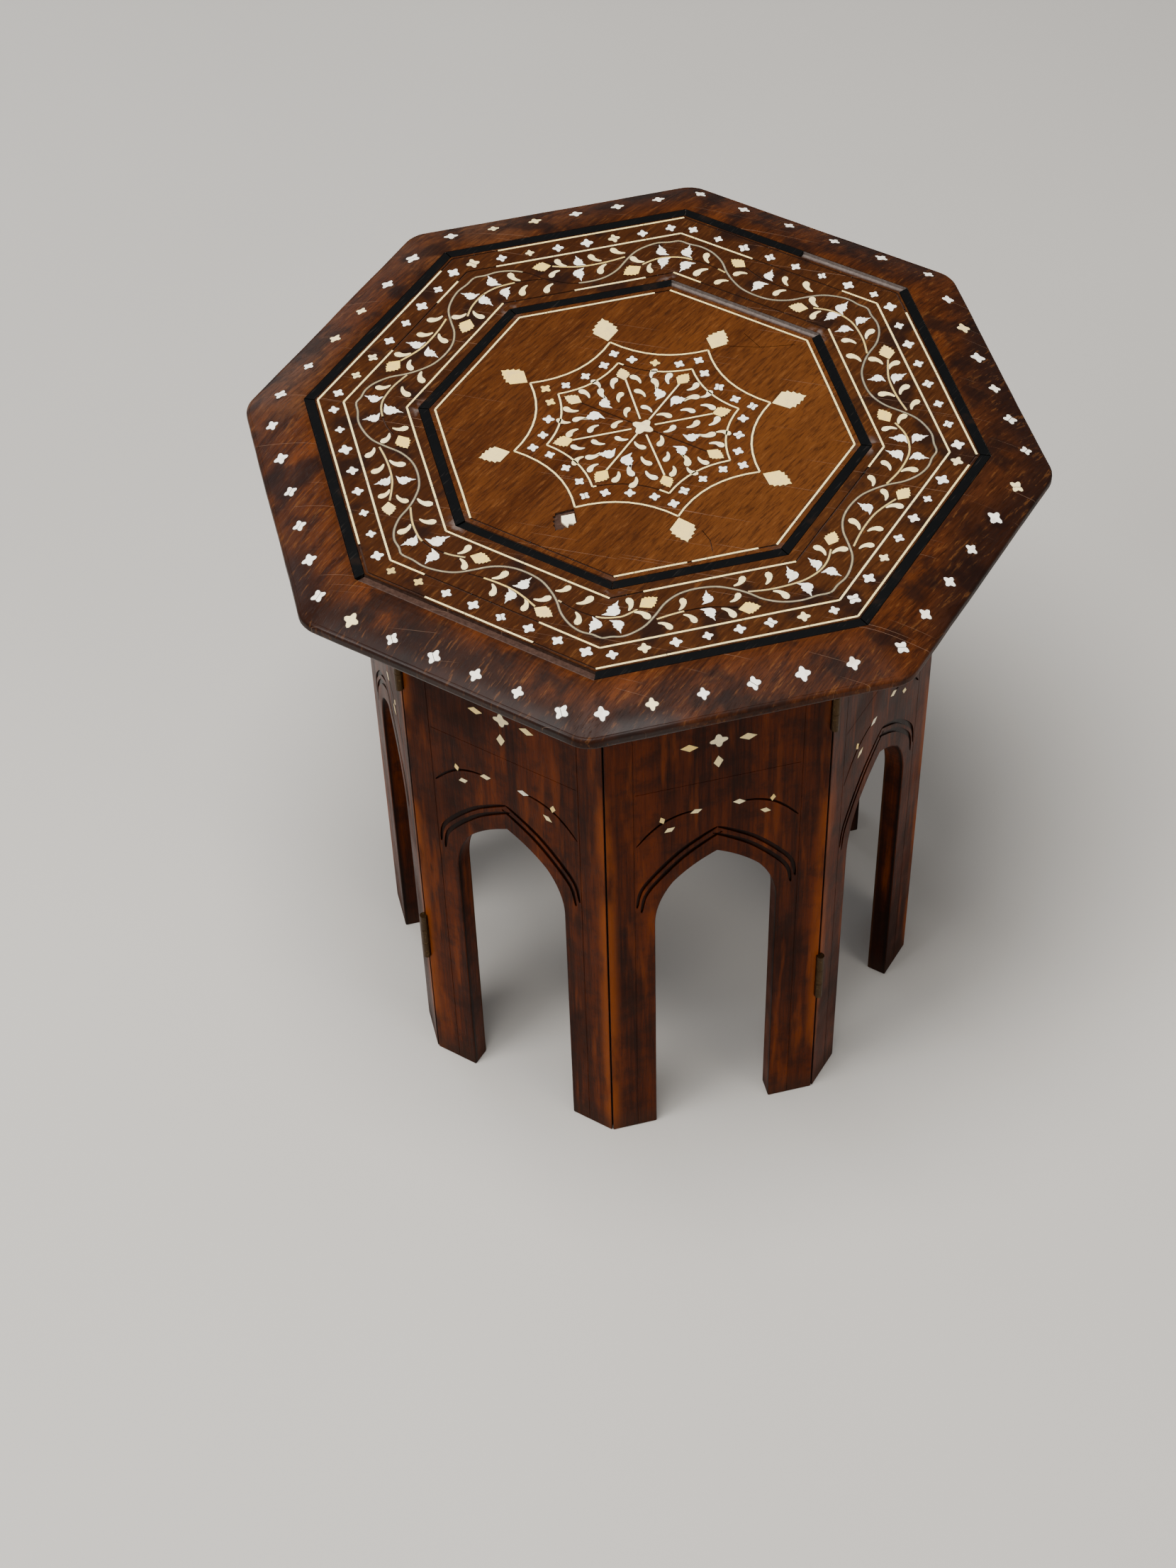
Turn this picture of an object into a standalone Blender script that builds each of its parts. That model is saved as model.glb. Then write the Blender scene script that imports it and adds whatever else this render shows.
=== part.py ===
"""Folding octagonal table, inlaid in bone and ebony.

A loose octagonal board lies on a ring of eight arched panels. The panels are hinged
edge to edge with small brass butt hinges let into their mitres. The hinges' barrels
stand outside and inside the ring in turn, so the ring folds into a flat pack once the
board is lifted off. Metres, +Z up, origin on the floor at the middle of the ring.
"""
import math

import bmesh
import bpy
from mathutils import Matrix, Vector

SIDES = 8
HALF_TURN = math.pi / SIDES          # half of the angle that one side spans

# The board
TOP_ACROSS = 0.400                   # across flats
TABLE_HEIGHT = 0.420
TOP_THICK = 0.016
CORNER_ROUND = 0.006                 # the octagon's corners, seen from above
UPPER_ROUND = 0.006                  # worn upper arris
LOWER_ROUND = 0.004

# Ebony strips let into the board, in two octagonal channels
EBONY_WIDTH = 0.0050
EBONY_DEPTH = 0.0022
OUTER_BORDER = 0.0316                # board's edge to the outer channel
BAND_WIDTH = 0.0572                  # outer channel to the inner one
OUTER_LOST_SIDE = 5                  # sides whose strip has fallen out
OUTER_BROKEN_SIDE = 1
OUTER_BROKEN_LENGTH = 0.075
INNER_LOST_SIDE = 1
SUNK_SIDE = 5                        # inner strip worn below the surface
SUNK_BY = 0.0006

# The ring of panels
BASE_ACROSS = 0.300                  # across the panels' outer faces
PANEL_THICK = 0.012
MITRE_GAP = 0.0003                   # from each mitred face to the corner's plane
LEG_WIDTH = 0.0275
SPANDREL = 0.159                     # wood above the arch's point
ARCH_RISE = 0.053
SHOULDER_INSET = 0.0105              # springing to shoulder, sideways
SHOULDER_RISE = 0.034
HAUNCH_BULGE = 0.0015                # the upper arc's height over its chord
ARC_STEPS = 5

# Brass butt hinges, two at each corner
HINGE_LENGTH = 0.038
BARREL_RADIUS = 0.0022
PIN_RADIUS = 0.0010
PIN_CLEARANCE = 0.0003
KNUCKLES = 3
BARREL_PROUD = 0.0009                # hinge axis in front of the panel's face
LEAF_THICK = 0.0012
LEAF_STOP = 0.0030                   # wood left behind the leaf's edge
UPPER_HINGE_DROP = 0.059             # panel's top to the hinge's middle
LOWER_HINGE_HEIGHT = 0.112
BARREL_SIDES = 12

# Blocks under the board that keep the ring open
BLOCK_LENGTH = 0.060
BLOCK_WIDTH = 0.014
BLOCK_THICK = 0.006
BLOCK_ROUND = 0.0015
BLOCK_PLAY = 0.005                   # block to the panel's inner face

GAP = 0.0003                         # between pieces that touch or fit

PANEL_HEIGHT = TABLE_HEIGHT - TOP_THICK - GAP
TOP_UNDERSIDE = TABLE_HEIGHT - TOP_THICK
OUTER_FACE = BASE_ACROSS / 2
INNER_FACE = OUTER_FACE - PANEL_THICK
OUTWARD_AXIS = (OUTER_FACE + BARREL_PROUD) / math.cos(HALF_TURN)
INWARD_AXIS = (INNER_FACE - BARREL_PROUD) / math.cos(HALF_TURN)
MITRE_LENGTH = PANEL_THICK / math.cos(HALF_TURN)
LEAF_WIDTH = MITRE_LENGTH + BARREL_PROUD / math.cos(HALF_TURN) - LEAF_STOP
HINGE_HEIGHTS = {"lower": LOWER_HINGE_HEIGHT, "upper": PANEL_HEIGHT - UPPER_HINGE_DROP}

# Panels counter-clockwise from the front left one; panel k lies between corners k and k + 1
PANELS = ("front_left", "front", "front_right", "right",
          "back_right", "back", "back_left", "left")
FIRST_PANEL_TURN = math.radians(-45)  # turn of panel 0 from the front panel's place
FIXED_PANEL = 1
LAST_LEFTWARD = 5                     # chain runs 1-2-3-4-5 one way and 1-0-7-6 the other


def new_collection(name):
    collection = bpy.data.collections.new(name)
    bpy.context.scene.collection.children.link(collection)
    return collection


def new_material(name, colour, roughness, metallic=0.0):
    material = bpy.data.materials.new(name)
    material.use_nodes = True
    shader = material.node_tree.nodes["Principled BSDF"]
    shader.inputs["Base Color"].default_value = (*colour, 1.0)
    shader.inputs["Roughness"].default_value = roughness
    shader.inputs["Metallic"].default_value = metallic
    material.diffuse_color = (*colour, 1.0)
    return material


def mesh_from(name, bm):
    mesh = bpy.data.meshes.new(name)
    bm.to_mesh(mesh)
    bm.free()
    return mesh


def as_cutter(mesh, place=None):
    """A guide object that only Boolean modifiers use."""
    cutter = bpy.data.objects.new(mesh.name, mesh)
    cutter.hide_render = True
    cutter.display_type = "WIRE"
    if place is not None:
        cutter.matrix_world = place
    cutters.objects.link(cutter)
    return cutter


def box_mesh(name, low, high):
    low, high = Vector(low), Vector(high)
    bm = bmesh.new()
    bmesh.ops.create_cube(bm, size=1.0)
    bmesh.ops.scale(bm, vec=high - low, verts=bm.verts)
    bmesh.ops.translate(bm, vec=(low + high) / 2, verts=bm.verts)
    return mesh_from(name, bm)


def rod_mesh(name, radius, low, high):
    """A vertical cylinder on the Z axis, from height low to height high."""
    bm = bmesh.new()
    bmesh.ops.create_cone(bm, cap_ends=True, segments=BARREL_SIDES, radius1=radius,
                          radius2=radius, depth=high - low)
    bmesh.ops.translate(bm, vec=(0, 0, (low + high) / 2), verts=bm.verts)
    return mesh_from(name, bm)


def outline_mesh(name, points, thickness):
    """A flat outline in the XY plane, thickened to both sides of it."""
    curve = bpy.data.curves.new(name, "CURVE")
    curve.dimensions = "2D"
    curve.fill_mode = "BOTH"
    curve.extrude = thickness / 2
    spline = curve.splines.new("POLY")
    spline.points.add(len(points) - 1)
    for point, (x, y) in zip(spline.points, points):
        point.co = (x, y, 0, 1)
    spline.use_cyclic_u = True
    holder = bpy.data.objects.new(name, curve)
    cutters.objects.link(holder)
    bpy.context.view_layer.update()
    mesh = bpy.data.meshes.new_from_object(holder.evaluated_get(bpy.context.evaluated_depsgraph_get()))
    bpy.data.objects.remove(holder)
    bm = bmesh.new()
    bm.from_mesh(mesh)
    bmesh.ops.remove_doubles(bm, verts=bm.verts, dist=0.00001)
    bmesh.ops.recalc_face_normals(bm, faces=bm.faces)
    bm.to_mesh(mesh)
    bm.free()
    mesh.name = name
    return mesh


def shaped(mesh, steps):
    """Cut and join a mesh with others in turn, and give the finished mesh."""
    blank = as_cutter(mesh)
    tools = []
    for number, (operation, tool_mesh, place) in enumerate(steps):
        tool = as_cutter(tool_mesh, place)
        step = blank.modifiers.new("step_%d" % number, "BOOLEAN")
        step.operation = operation
        step.object = tool
        tools.append(tool)
    bpy.context.view_layer.update()
    done = bpy.data.meshes.new_from_object(blank.evaluated_get(bpy.context.evaluated_depsgraph_get()))
    done.name = mesh.name
    for used in (blank, *tools):
        bpy.data.objects.remove(used)
    return done


def add_part(name, mesh, material, turn=0.0, pivot=None):
    """Place a finished mesh, turned about the ring's middle, and hang it on a pivot."""
    part = bpy.data.objects.new(name, mesh)
    if not mesh.materials:
        mesh.materials.append(material)
    parts.objects.link(part)
    hang(part, Matrix.Rotation(turn, 4, "Z"), pivot)
    return part


def hang(piece, place, pivot):
    piece.matrix_world = place
    if pivot is not None:
        piece.parent = pivot
        piece.matrix_parent_inverse = pivot.matrix_world.inverted()
        bpy.context.view_layer.update()
        piece.matrix_world = place
    bpy.context.view_layer.update()


# ---- the panels --------------------------------------------------------------------

def arc_between(start, end, bulge, steps):
    """Points after start up to end, on an arc that stands bulge over its chord."""
    (x0, y0), (x1, y1) = start, end
    length = math.hypot(x1 - x0, y1 - y0)
    side = Vector(((y1 - y0) / length, (x0 - x1) / length))
    points = []
    for step in range(1, steps + 1):
        share = step / steps
        lift = 4 * bulge * share * (1 - share)
        points.append((x0 + (x1 - x0) * share + side.x * lift,
                       y0 + (y1 - y0) * share + side.y * lift))
    return points


def arch_half():
    """The opening's right half, from the floor up to the arch's point."""
    half = OUTER_FACE * math.tan(HALF_TURN) - LEG_WIDTH
    point = PANEL_HEIGHT - SPANDREL
    springing = point - ARCH_RISE
    shoulder = (half - SHOULDER_INSET, springing + SHOULDER_RISE)
    radius = (SHOULDER_INSET ** 2 + SHOULDER_RISE ** 2) / (2 * SHOULDER_INSET)
    sweep = math.asin(SHOULDER_RISE / radius)
    haunch = [(half - radius * (1 - math.cos(sweep * step / ARC_STEPS)),
               springing + radius * math.sin(sweep * step / ARC_STEPS))
              for step in range(ARC_STEPS + 1)]
    return [(half, 0.0), *haunch, *arc_between(shoulder, (0.0, point), HAUNCH_BULGE, ARC_STEPS)]


def panel_outline():
    edge = OUTER_FACE * math.tan(HALF_TURN)
    right = arch_half()
    left = [(-x, y) for x, y in reversed(right[:-1])]
    return [(edge, 0.0), *right, *left, (-edge, 0.0), (-edge, PANEL_HEIGHT), (edge, PANEL_HEIGHT)]


def corner_frame(side, outward):
    """Frame on a corner's hinge axis for the front panel; X points into the wood, side is
    1 for its right corner and -1 for its left one."""
    angle = -math.pi / 2 + side * HALF_TURN
    radius = OUTWARD_AXIS if outward else INWARD_AXIS
    turn = angle + (math.pi if outward else 0.0)
    return Matrix.Translation((radius * math.cos(angle), radius * math.sin(angle), 0)) \
        @ Matrix.Rotation(turn, 4, "Z")


def recess_mesh():
    """The pocket that one corner of a panel has for a hinge leaf and the barrel."""
    half = HINGE_LENGTH / 2 + GAP
    depth = MITRE_GAP + LEAF_THICK + GAP
    pocket = box_mesh("pocket", (0, -depth, -half), (LEAF_WIDTH + GAP, depth, half))
    barrel = rod_mesh("barrel_room", BARREL_RADIUS + GAP, -half, half)
    return shaped(pocket, [("UNION", barrel, None)])


def panel_mesh(name, right_outward):
    """The front panel. One of its corners has its barrels outside, the other inside."""
    slab = outline_mesh(name, panel_outline(), PANEL_THICK)
    slab.transform(Matrix.Translation((0, -(OUTER_FACE + INNER_FACE) / 2, 0))
                   @ Matrix.Rotation(math.pi / 2, 4, "X"))
    steps = []
    reach = OUTER_FACE * 2
    for side in (-1, 1):
        wedge = box_mesh("mitre_cut", (-MITRE_GAP, -reach, -PANEL_HEIGHT),
                         (OUTER_FACE, 0, PANEL_HEIGHT * 2))
        if side < 0:
            wedge = box_mesh("mitre_cut", (-OUTER_FACE, -reach, -PANEL_HEIGHT),
                             (MITRE_GAP, 0, PANEL_HEIGHT * 2))
        steps.append(("DIFFERENCE", wedge, Matrix.Rotation(side * HALF_TURN, 4, "Z")))
    for side in (-1, 1):
        outward = right_outward == (side > 0)
        for height in HINGE_HEIGHTS.values():
            place = Matrix.Translation((0, 0, height)) @ corner_frame(side, outward)
            steps.append(("DIFFERENCE", recess_mesh(), place))
    return shaped(slab, steps)


# ---- the hinges --------------------------------------------------------------------

def knuckle_spans():
    """Lowest and highest point of each knuckle, from the bottom of the barrel up."""
    pitch = (HINGE_LENGTH + GAP) / KNUCKLES
    return [(-HINGE_LENGTH / 2 + pitch * n, -HINGE_LENGTH / 2 + pitch * (n + 1) - GAP)
            for n in range(KNUCKLES)]


def leaf_mesh(name, pinned):
    """One leaf on its axis at the origin: X runs along the leaf, Y away from the mitre.

    The pinned leaf has the end knuckles, with the pin riveted in them; the plain leaf
    has the middle one, bored for the pin."""
    half = HINGE_LENGTH / 2
    low, high = MITRE_GAP, MITRE_GAP + LEAF_THICK
    if not pinned:
        low, high = -high, -low
    steps = []
    for number, (bottom, top) in enumerate(knuckle_spans()):
        if (number % 2 == 0) == pinned:
            steps.append(("UNION", rod_mesh("knuckle", BARREL_RADIUS, bottom, top), None))
        else:
            room = rod_mesh("knuckle_room", BARREL_RADIUS + GAP, bottom - GAP, top + GAP)
            steps.insert(0, ("DIFFERENCE", room, None))
    if pinned:
        steps.append(("UNION", rod_mesh("pin", PIN_RADIUS, -half + GAP, half - GAP), None))
    else:
        bore = rod_mesh("bore", PIN_RADIUS + PIN_CLEARANCE, -half - GAP, half + GAP)
        steps.append(("DIFFERENCE", bore, None))
    return shaped(box_mesh(name, (0, low, -half), (LEAF_WIDTH, high, half)), steps)


def add_hinges(pivots):
    pinned, plain = leaf_mesh("pinned_leaf", True), leaf_mesh("plain_leaf", False)
    for corner in range(SIDES):
        outward = corner % 2 == 0
        turn = FIRST_PANEL_TURN + corner * 2 * HALF_TURN
        before, after = (corner - 1) % SIDES, corner
        frame = Matrix.Rotation(turn, 4, "Z") @ corner_frame(-1, outward)
        # the leaf on the frame's +Y side lies in the panel before an outward corner
        pinned_panel, plain_panel = (before, after) if outward else (after, before)
        for level, height in HINGE_HEIGHTS.items():
            place = Matrix.Translation((0, 0, height)) @ frame
            for kind, mesh, panel in (("pinned", pinned, pinned_panel),
                                      ("plain", plain, plain_panel)):
                leaf = add_part("hinge_%d_%s_%s_leaf" % (corner + 1, level, kind), mesh, brass)
                hang(leaf, place, pivots[panel])


# ---- the board ---------------------------------------------------------------------

def corner_radius(apothem):
    return apothem / math.cos(HALF_TURN)


def octagon_ring(bm, apothem, height):
    ring = bmesh.ops.create_circle(bm, cap_ends=False, segments=SIDES, radius=corner_radius(apothem))
    bmesh.ops.rotate(bm, verts=ring["verts"], cent=(0, 0, 0), matrix=Matrix.Rotation(HALF_TURN, 3, "Z"))
    bmesh.ops.translate(bm, verts=ring["verts"], vec=(0, 0, height))
    return list({edge for vert in ring["verts"] for edge in vert.link_edges})


def channel_mesh(outer_apothem):
    """An octagonal channel's cutter, open above the board."""
    bottom = TABLE_HEIGHT - EBONY_DEPTH - GAP
    bm = bmesh.new()
    edges = octagon_ring(bm, outer_apothem + GAP, bottom)
    edges += octagon_ring(bm, outer_apothem - EBONY_WIDTH - GAP, bottom)
    floor = bmesh.ops.bridge_loops(bm, edges=edges)["faces"]
    top = bmesh.ops.extrude_face_region(bm, geom=floor)["geom"]
    moved = [item for item in top if isinstance(item, bmesh.types.BMVert)]
    bmesh.ops.translate(bm, verts=moved, vec=(0, 0, EBONY_DEPTH + TOP_THICK))
    bmesh.ops.recalc_face_normals(bm, faces=bm.faces)
    return mesh_from("channel", bm)


def board_mesh():
    bm = bmesh.new()
    ring = octagon_ring(bm, TOP_ACROSS / 2, TOP_UNDERSIDE)
    base = bmesh.ops.contextual_create(bm, geom=ring)["faces"]
    raised = bmesh.ops.extrude_face_region(bm, geom=base)["geom"]
    moved = [item for item in raised if isinstance(item, bmesh.types.BMVert)]
    bmesh.ops.translate(bm, verts=moved, vec=(0, 0, TOP_THICK))
    bmesh.ops.recalc_face_normals(bm, faces=bm.faces)
    middle = (TOP_UNDERSIDE + TABLE_HEIGHT) / 2
    corners = [edge for edge in bm.edges
               if (edge.verts[0].co.z - middle) * (edge.verts[1].co.z - middle) < 0]
    bmesh.ops.bevel(bm, geom=corners, offset=CORNER_ROUND, offset_type="OFFSET", segments=3,
                    profile=0.5, affect="EDGES", material=-1)
    for radius, above in ((UPPER_ROUND, True), (LOWER_ROUND, False)):
        rim = [edge for edge in bm.edges
               if all((vert.co.z > middle) == above for vert in edge.verts)
               and any(abs(face.normal.z) < 0.5 for face in edge.link_faces)]
        rim = [edge for edge in rim
               if any(abs(face.normal.z) > 0.9 for face in edge.link_faces)]
        bmesh.ops.bevel(bm, geom=rim, offset=radius, offset_type="OFFSET", segments=4,
                        profile=0.5, affect="EDGES", material=-1)
    outer = TOP_ACROSS / 2 - OUTER_BORDER
    return shaped(mesh_from("top_board", bm),
                  [("DIFFERENCE", channel_mesh(outer), None),
                   ("DIFFERENCE", channel_mesh(outer - BAND_WIDTH), None)])


def strip_mesh(name, outer_apothem, drop, length=None):
    """The strip along the +X side, mitred at its ends; a broken one stops at length."""
    inner_apothem = outer_apothem - EBONY_WIDTH
    slope = math.tan(HALF_TURN)
    shorten = GAP / math.cos(HALF_TURN)
    far, near = outer_apothem * slope - shorten, inner_apothem * slope - shorten
    start_far, start_near = -far, -near
    if length is not None:
        start_far = start_near = far - length
    points = [(inner_apothem, start_near), (outer_apothem, start_far),
              (outer_apothem, far), (inner_apothem, near)]
    mesh = outline_mesh(name, points, EBONY_DEPTH - drop)
    mesh.transform(Matrix.Translation((0, 0, TABLE_HEIGHT - EBONY_DEPTH + (EBONY_DEPTH - drop) / 2)))
    return mesh


def add_strips(pivot):
    outer = TOP_ACROSS / 2 - OUTER_BORDER
    for side in range(SIDES):
        turn = side * 2 * HALF_TURN
        if side != OUTER_LOST_SIDE:
            length = OUTER_BROKEN_LENGTH if side == OUTER_BROKEN_SIDE else None
            name = "ebony_outer_%d" % (side + 1)
            add_part(name, strip_mesh(name, outer, 0.0, length), ebony, turn, pivot)
        if side != INNER_LOST_SIDE:
            drop = SUNK_BY if side == SUNK_SIDE else 0.0
            name = "ebony_inner_%d" % (side + 1)
            add_part(name, strip_mesh(name, outer - BAND_WIDTH, drop), ebony, turn, pivot)


def add_blocks(pivot):
    """Four blocks under the board, behind every other panel."""
    outer = INNER_FACE - BLOCK_PLAY
    top = TOP_UNDERSIDE - GAP
    for number in range(SIDES // 2):
        mesh = box_mesh("locating_block_%d" % (number + 1),
                        (outer - BLOCK_WIDTH, -BLOCK_LENGTH / 2, top - BLOCK_THICK),
                        (outer, BLOCK_LENGTH / 2, top))
        block = add_part(mesh.name, mesh, softwood, number * 4 * HALF_TURN, pivot)
        worn = block.modifiers.new("worn_edges", "BEVEL")
        worn.width = BLOCK_ROUND
        worn.segments = 1
        worn.limit_method = "ANGLE"


# ---- pivots ------------------------------------------------------------------------

def add_pivot(name, position, parent=None):
    pivot = bpy.data.objects.new(name, None)
    pivot.empty_display_size = 0.02
    parts.objects.link(pivot)
    hang(pivot, Matrix.Translation(position), parent)
    return pivot


def corner_position(corner):
    """A corner's hinge axis on the floor; even corners have their barrels outside."""
    radius = OUTWARD_AXIS if corner % 2 == 0 else INWARD_AXIS
    angle = -math.pi / 2 - HALF_TURN + FIRST_PANEL_TURN + corner * 2 * HALF_TURN
    return Vector((radius * math.cos(angle), radius * math.sin(angle), 0))


def add_pivots():
    """One empty on each panel's hinge axis, in two chains that start at the front panel."""
    pivots = {FIXED_PANEL: add_pivot("pivot_front", (0, 0, 0))}
    for panel in range(FIXED_PANEL + 1, LAST_LEFTWARD + 1):
        pivots[panel] = add_pivot("pivot_" + PANELS[panel], corner_position(panel), pivots[panel - 1])
    neighbour = FIXED_PANEL
    for step in range(SIDES - 1 - (LAST_LEFTWARD - FIXED_PANEL)):
        panel = (FIXED_PANEL - 1 - step) % SIDES
        corner = (panel + 1) % SIDES
        pivots[panel] = add_pivot("pivot_" + PANELS[panel], corner_position(corner), pivots[neighbour])
        neighbour = panel
    return pivots


for old in list(bpy.data.objects):
    bpy.data.objects.remove(old)
parts = new_collection("inlaid_octagonal_table")
cutters = new_collection("cutters")

base_wood = new_material("base_wood", (0.115, 0.040, 0.018), 0.45)
board_wood = new_material("board_wood", (0.130, 0.050, 0.022), 0.40)
ebony = new_material("ebony", (0.012, 0.012, 0.013), 0.35)
softwood = new_material("softwood", (0.30, 0.17, 0.08), 0.70)
brass = new_material("brass", (0.42, 0.30, 0.13), 0.45, 1.0)

panel_pivots = add_pivots()
panel_meshes = (panel_mesh("panel_even", False), panel_mesh("panel_odd", True))
for index, place_name in enumerate(PANELS):
    add_part("panel_" + place_name, panel_meshes[index % 2], base_wood,
             FIRST_PANEL_TURN + index * 2 * HALF_TURN, panel_pivots[index])
add_hinges(panel_pivots)

top_pivot = add_pivot("top_slide", (0, 0, TOP_UNDERSIDE), panel_pivots[FIXED_PANEL])
add_part("top_board", board_mesh(), board_wood, 0.0, top_pivot)
add_strips(top_pivot)
add_blocks(top_pivot)
for part in parts.objects:
    if part.type == "MESH" and part.name.startswith(("hinge", "top_board")):
        part.data.shade_smooth()
        part.data.set_sharp_from_angle(angle=math.radians(35))
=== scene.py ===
# %% [markdown]
# # A folding octagonal table, inlaid with bone and ebony
# The real table is two things: a loose eight-sided board, and a ring of eight arched panels
# hinged edge to edge. The joinery comes as a fixed frame in metres, and this lesson gives
# it the maker's surface. What the joinery fixes is read from the frame, and the inlay is
# laid out in millimetres from the board's middle.

# %% Load the frame
import math
import random

import bmesh
import bpy
from mathutils import Matrix, Vector, noise


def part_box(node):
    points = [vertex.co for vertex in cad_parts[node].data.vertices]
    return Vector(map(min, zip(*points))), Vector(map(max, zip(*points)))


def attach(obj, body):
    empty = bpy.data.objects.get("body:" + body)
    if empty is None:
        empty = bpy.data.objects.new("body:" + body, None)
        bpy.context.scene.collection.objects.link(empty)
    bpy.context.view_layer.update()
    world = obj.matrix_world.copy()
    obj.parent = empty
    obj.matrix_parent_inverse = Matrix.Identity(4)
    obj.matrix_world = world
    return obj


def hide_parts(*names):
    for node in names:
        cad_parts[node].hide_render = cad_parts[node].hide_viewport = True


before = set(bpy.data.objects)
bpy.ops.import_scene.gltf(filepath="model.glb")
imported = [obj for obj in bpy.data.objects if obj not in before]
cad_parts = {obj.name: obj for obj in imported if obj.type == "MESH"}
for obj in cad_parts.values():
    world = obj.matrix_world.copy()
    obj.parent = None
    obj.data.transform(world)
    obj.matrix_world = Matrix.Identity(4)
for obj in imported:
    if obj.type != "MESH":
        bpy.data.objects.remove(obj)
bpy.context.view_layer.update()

MM = 0.001
SIDES = 8
HALF_TURN = math.pi / SIDES
SLOPE = math.tan(HALF_TURN)            # half a side's length for each unit of apothem
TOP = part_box("top_board")[1].z
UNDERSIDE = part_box("top_board")[0].z
BOARD_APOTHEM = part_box("top_board")[1].x
print("frame", len(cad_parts), "nodes, board top at", round(TOP, 4))

# %% [markdown]
# ## The camera
# Someone standing beside the table looks down on it at about fifty degrees, a little from
# the left. A camera is placed by its position and three angles. The angles become a
# rotation matrix whose columns are the camera's right, its up and its backwards direction.

# %% Camera
CAMERA_PLACE = Vector((-0.287, -1.110, 1.4694))
CAMERA_YAW, CAMERA_DOWN, CAMERA_ROLL = (math.radians(a) for a in (12.73, 49.39, -1.93))
LENS_MM, SENSOR_MM = 67.3, 36.0


def aim(place, yaw, down, roll=0.0):
    """A matrix that looks down by one angle and round by another."""
    forward = Vector((math.sin(yaw) * math.cos(down), math.cos(yaw) * math.cos(down), -math.sin(down)))
    level = Vector((math.cos(yaw), -math.sin(yaw), 0))
    upright = level.cross(forward)
    right = level * math.cos(roll) + upright * math.sin(roll)
    up = upright * math.cos(roll) - level * math.sin(roll)
    turn = Matrix((right, up, -forward)).transposed().to_4x4()
    return Matrix.Translation(place) @ turn


camera = bpy.data.objects.new("camera", bpy.data.cameras.new("camera"))
camera.data.sensor_fit = "VERTICAL"
camera.data.sensor_height = SENSOR_MM
camera.data.lens = LENS_MM
camera.matrix_world = aim(CAMERA_PLACE, CAMERA_YAW, CAMERA_DOWN, CAMERA_ROLL)
bpy.context.scene.collection.objects.link(camera)
bpy.context.scene.camera = camera
print("camera", LENS_MM, "mm, looking down", round(math.degrees(CAMERA_DOWN)), "degrees")

# %% [markdown]
# ## Shader maths as Python
# Wood needs many small sums: how far a point is from the rim, how deep it lies in a groove.
# Wired by hand they would be a web of Math nodes. One small class wraps a socket so that
# ordinary + - * make those nodes, and one method makes every other kind of node.

# %% Shader helpers
class Wire:
    """A shader socket that Python's own operators extend with Math nodes."""

    def __init__(self, finish, socket):
        self.finish, self.socket = finish, socket

    def __add__(self, other):
        return self.finish.math("ADD", self, other)

    def __sub__(self, other):
        return self.finish.math("SUBTRACT", self, other)

    def __rsub__(self, other):
        return self.finish.math("SUBTRACT", other, self)

    def __mul__(self, other):
        return self.finish.math("MULTIPLY", self, other)

    __radd__ = __add__
    __rmul__ = __mul__


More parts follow.
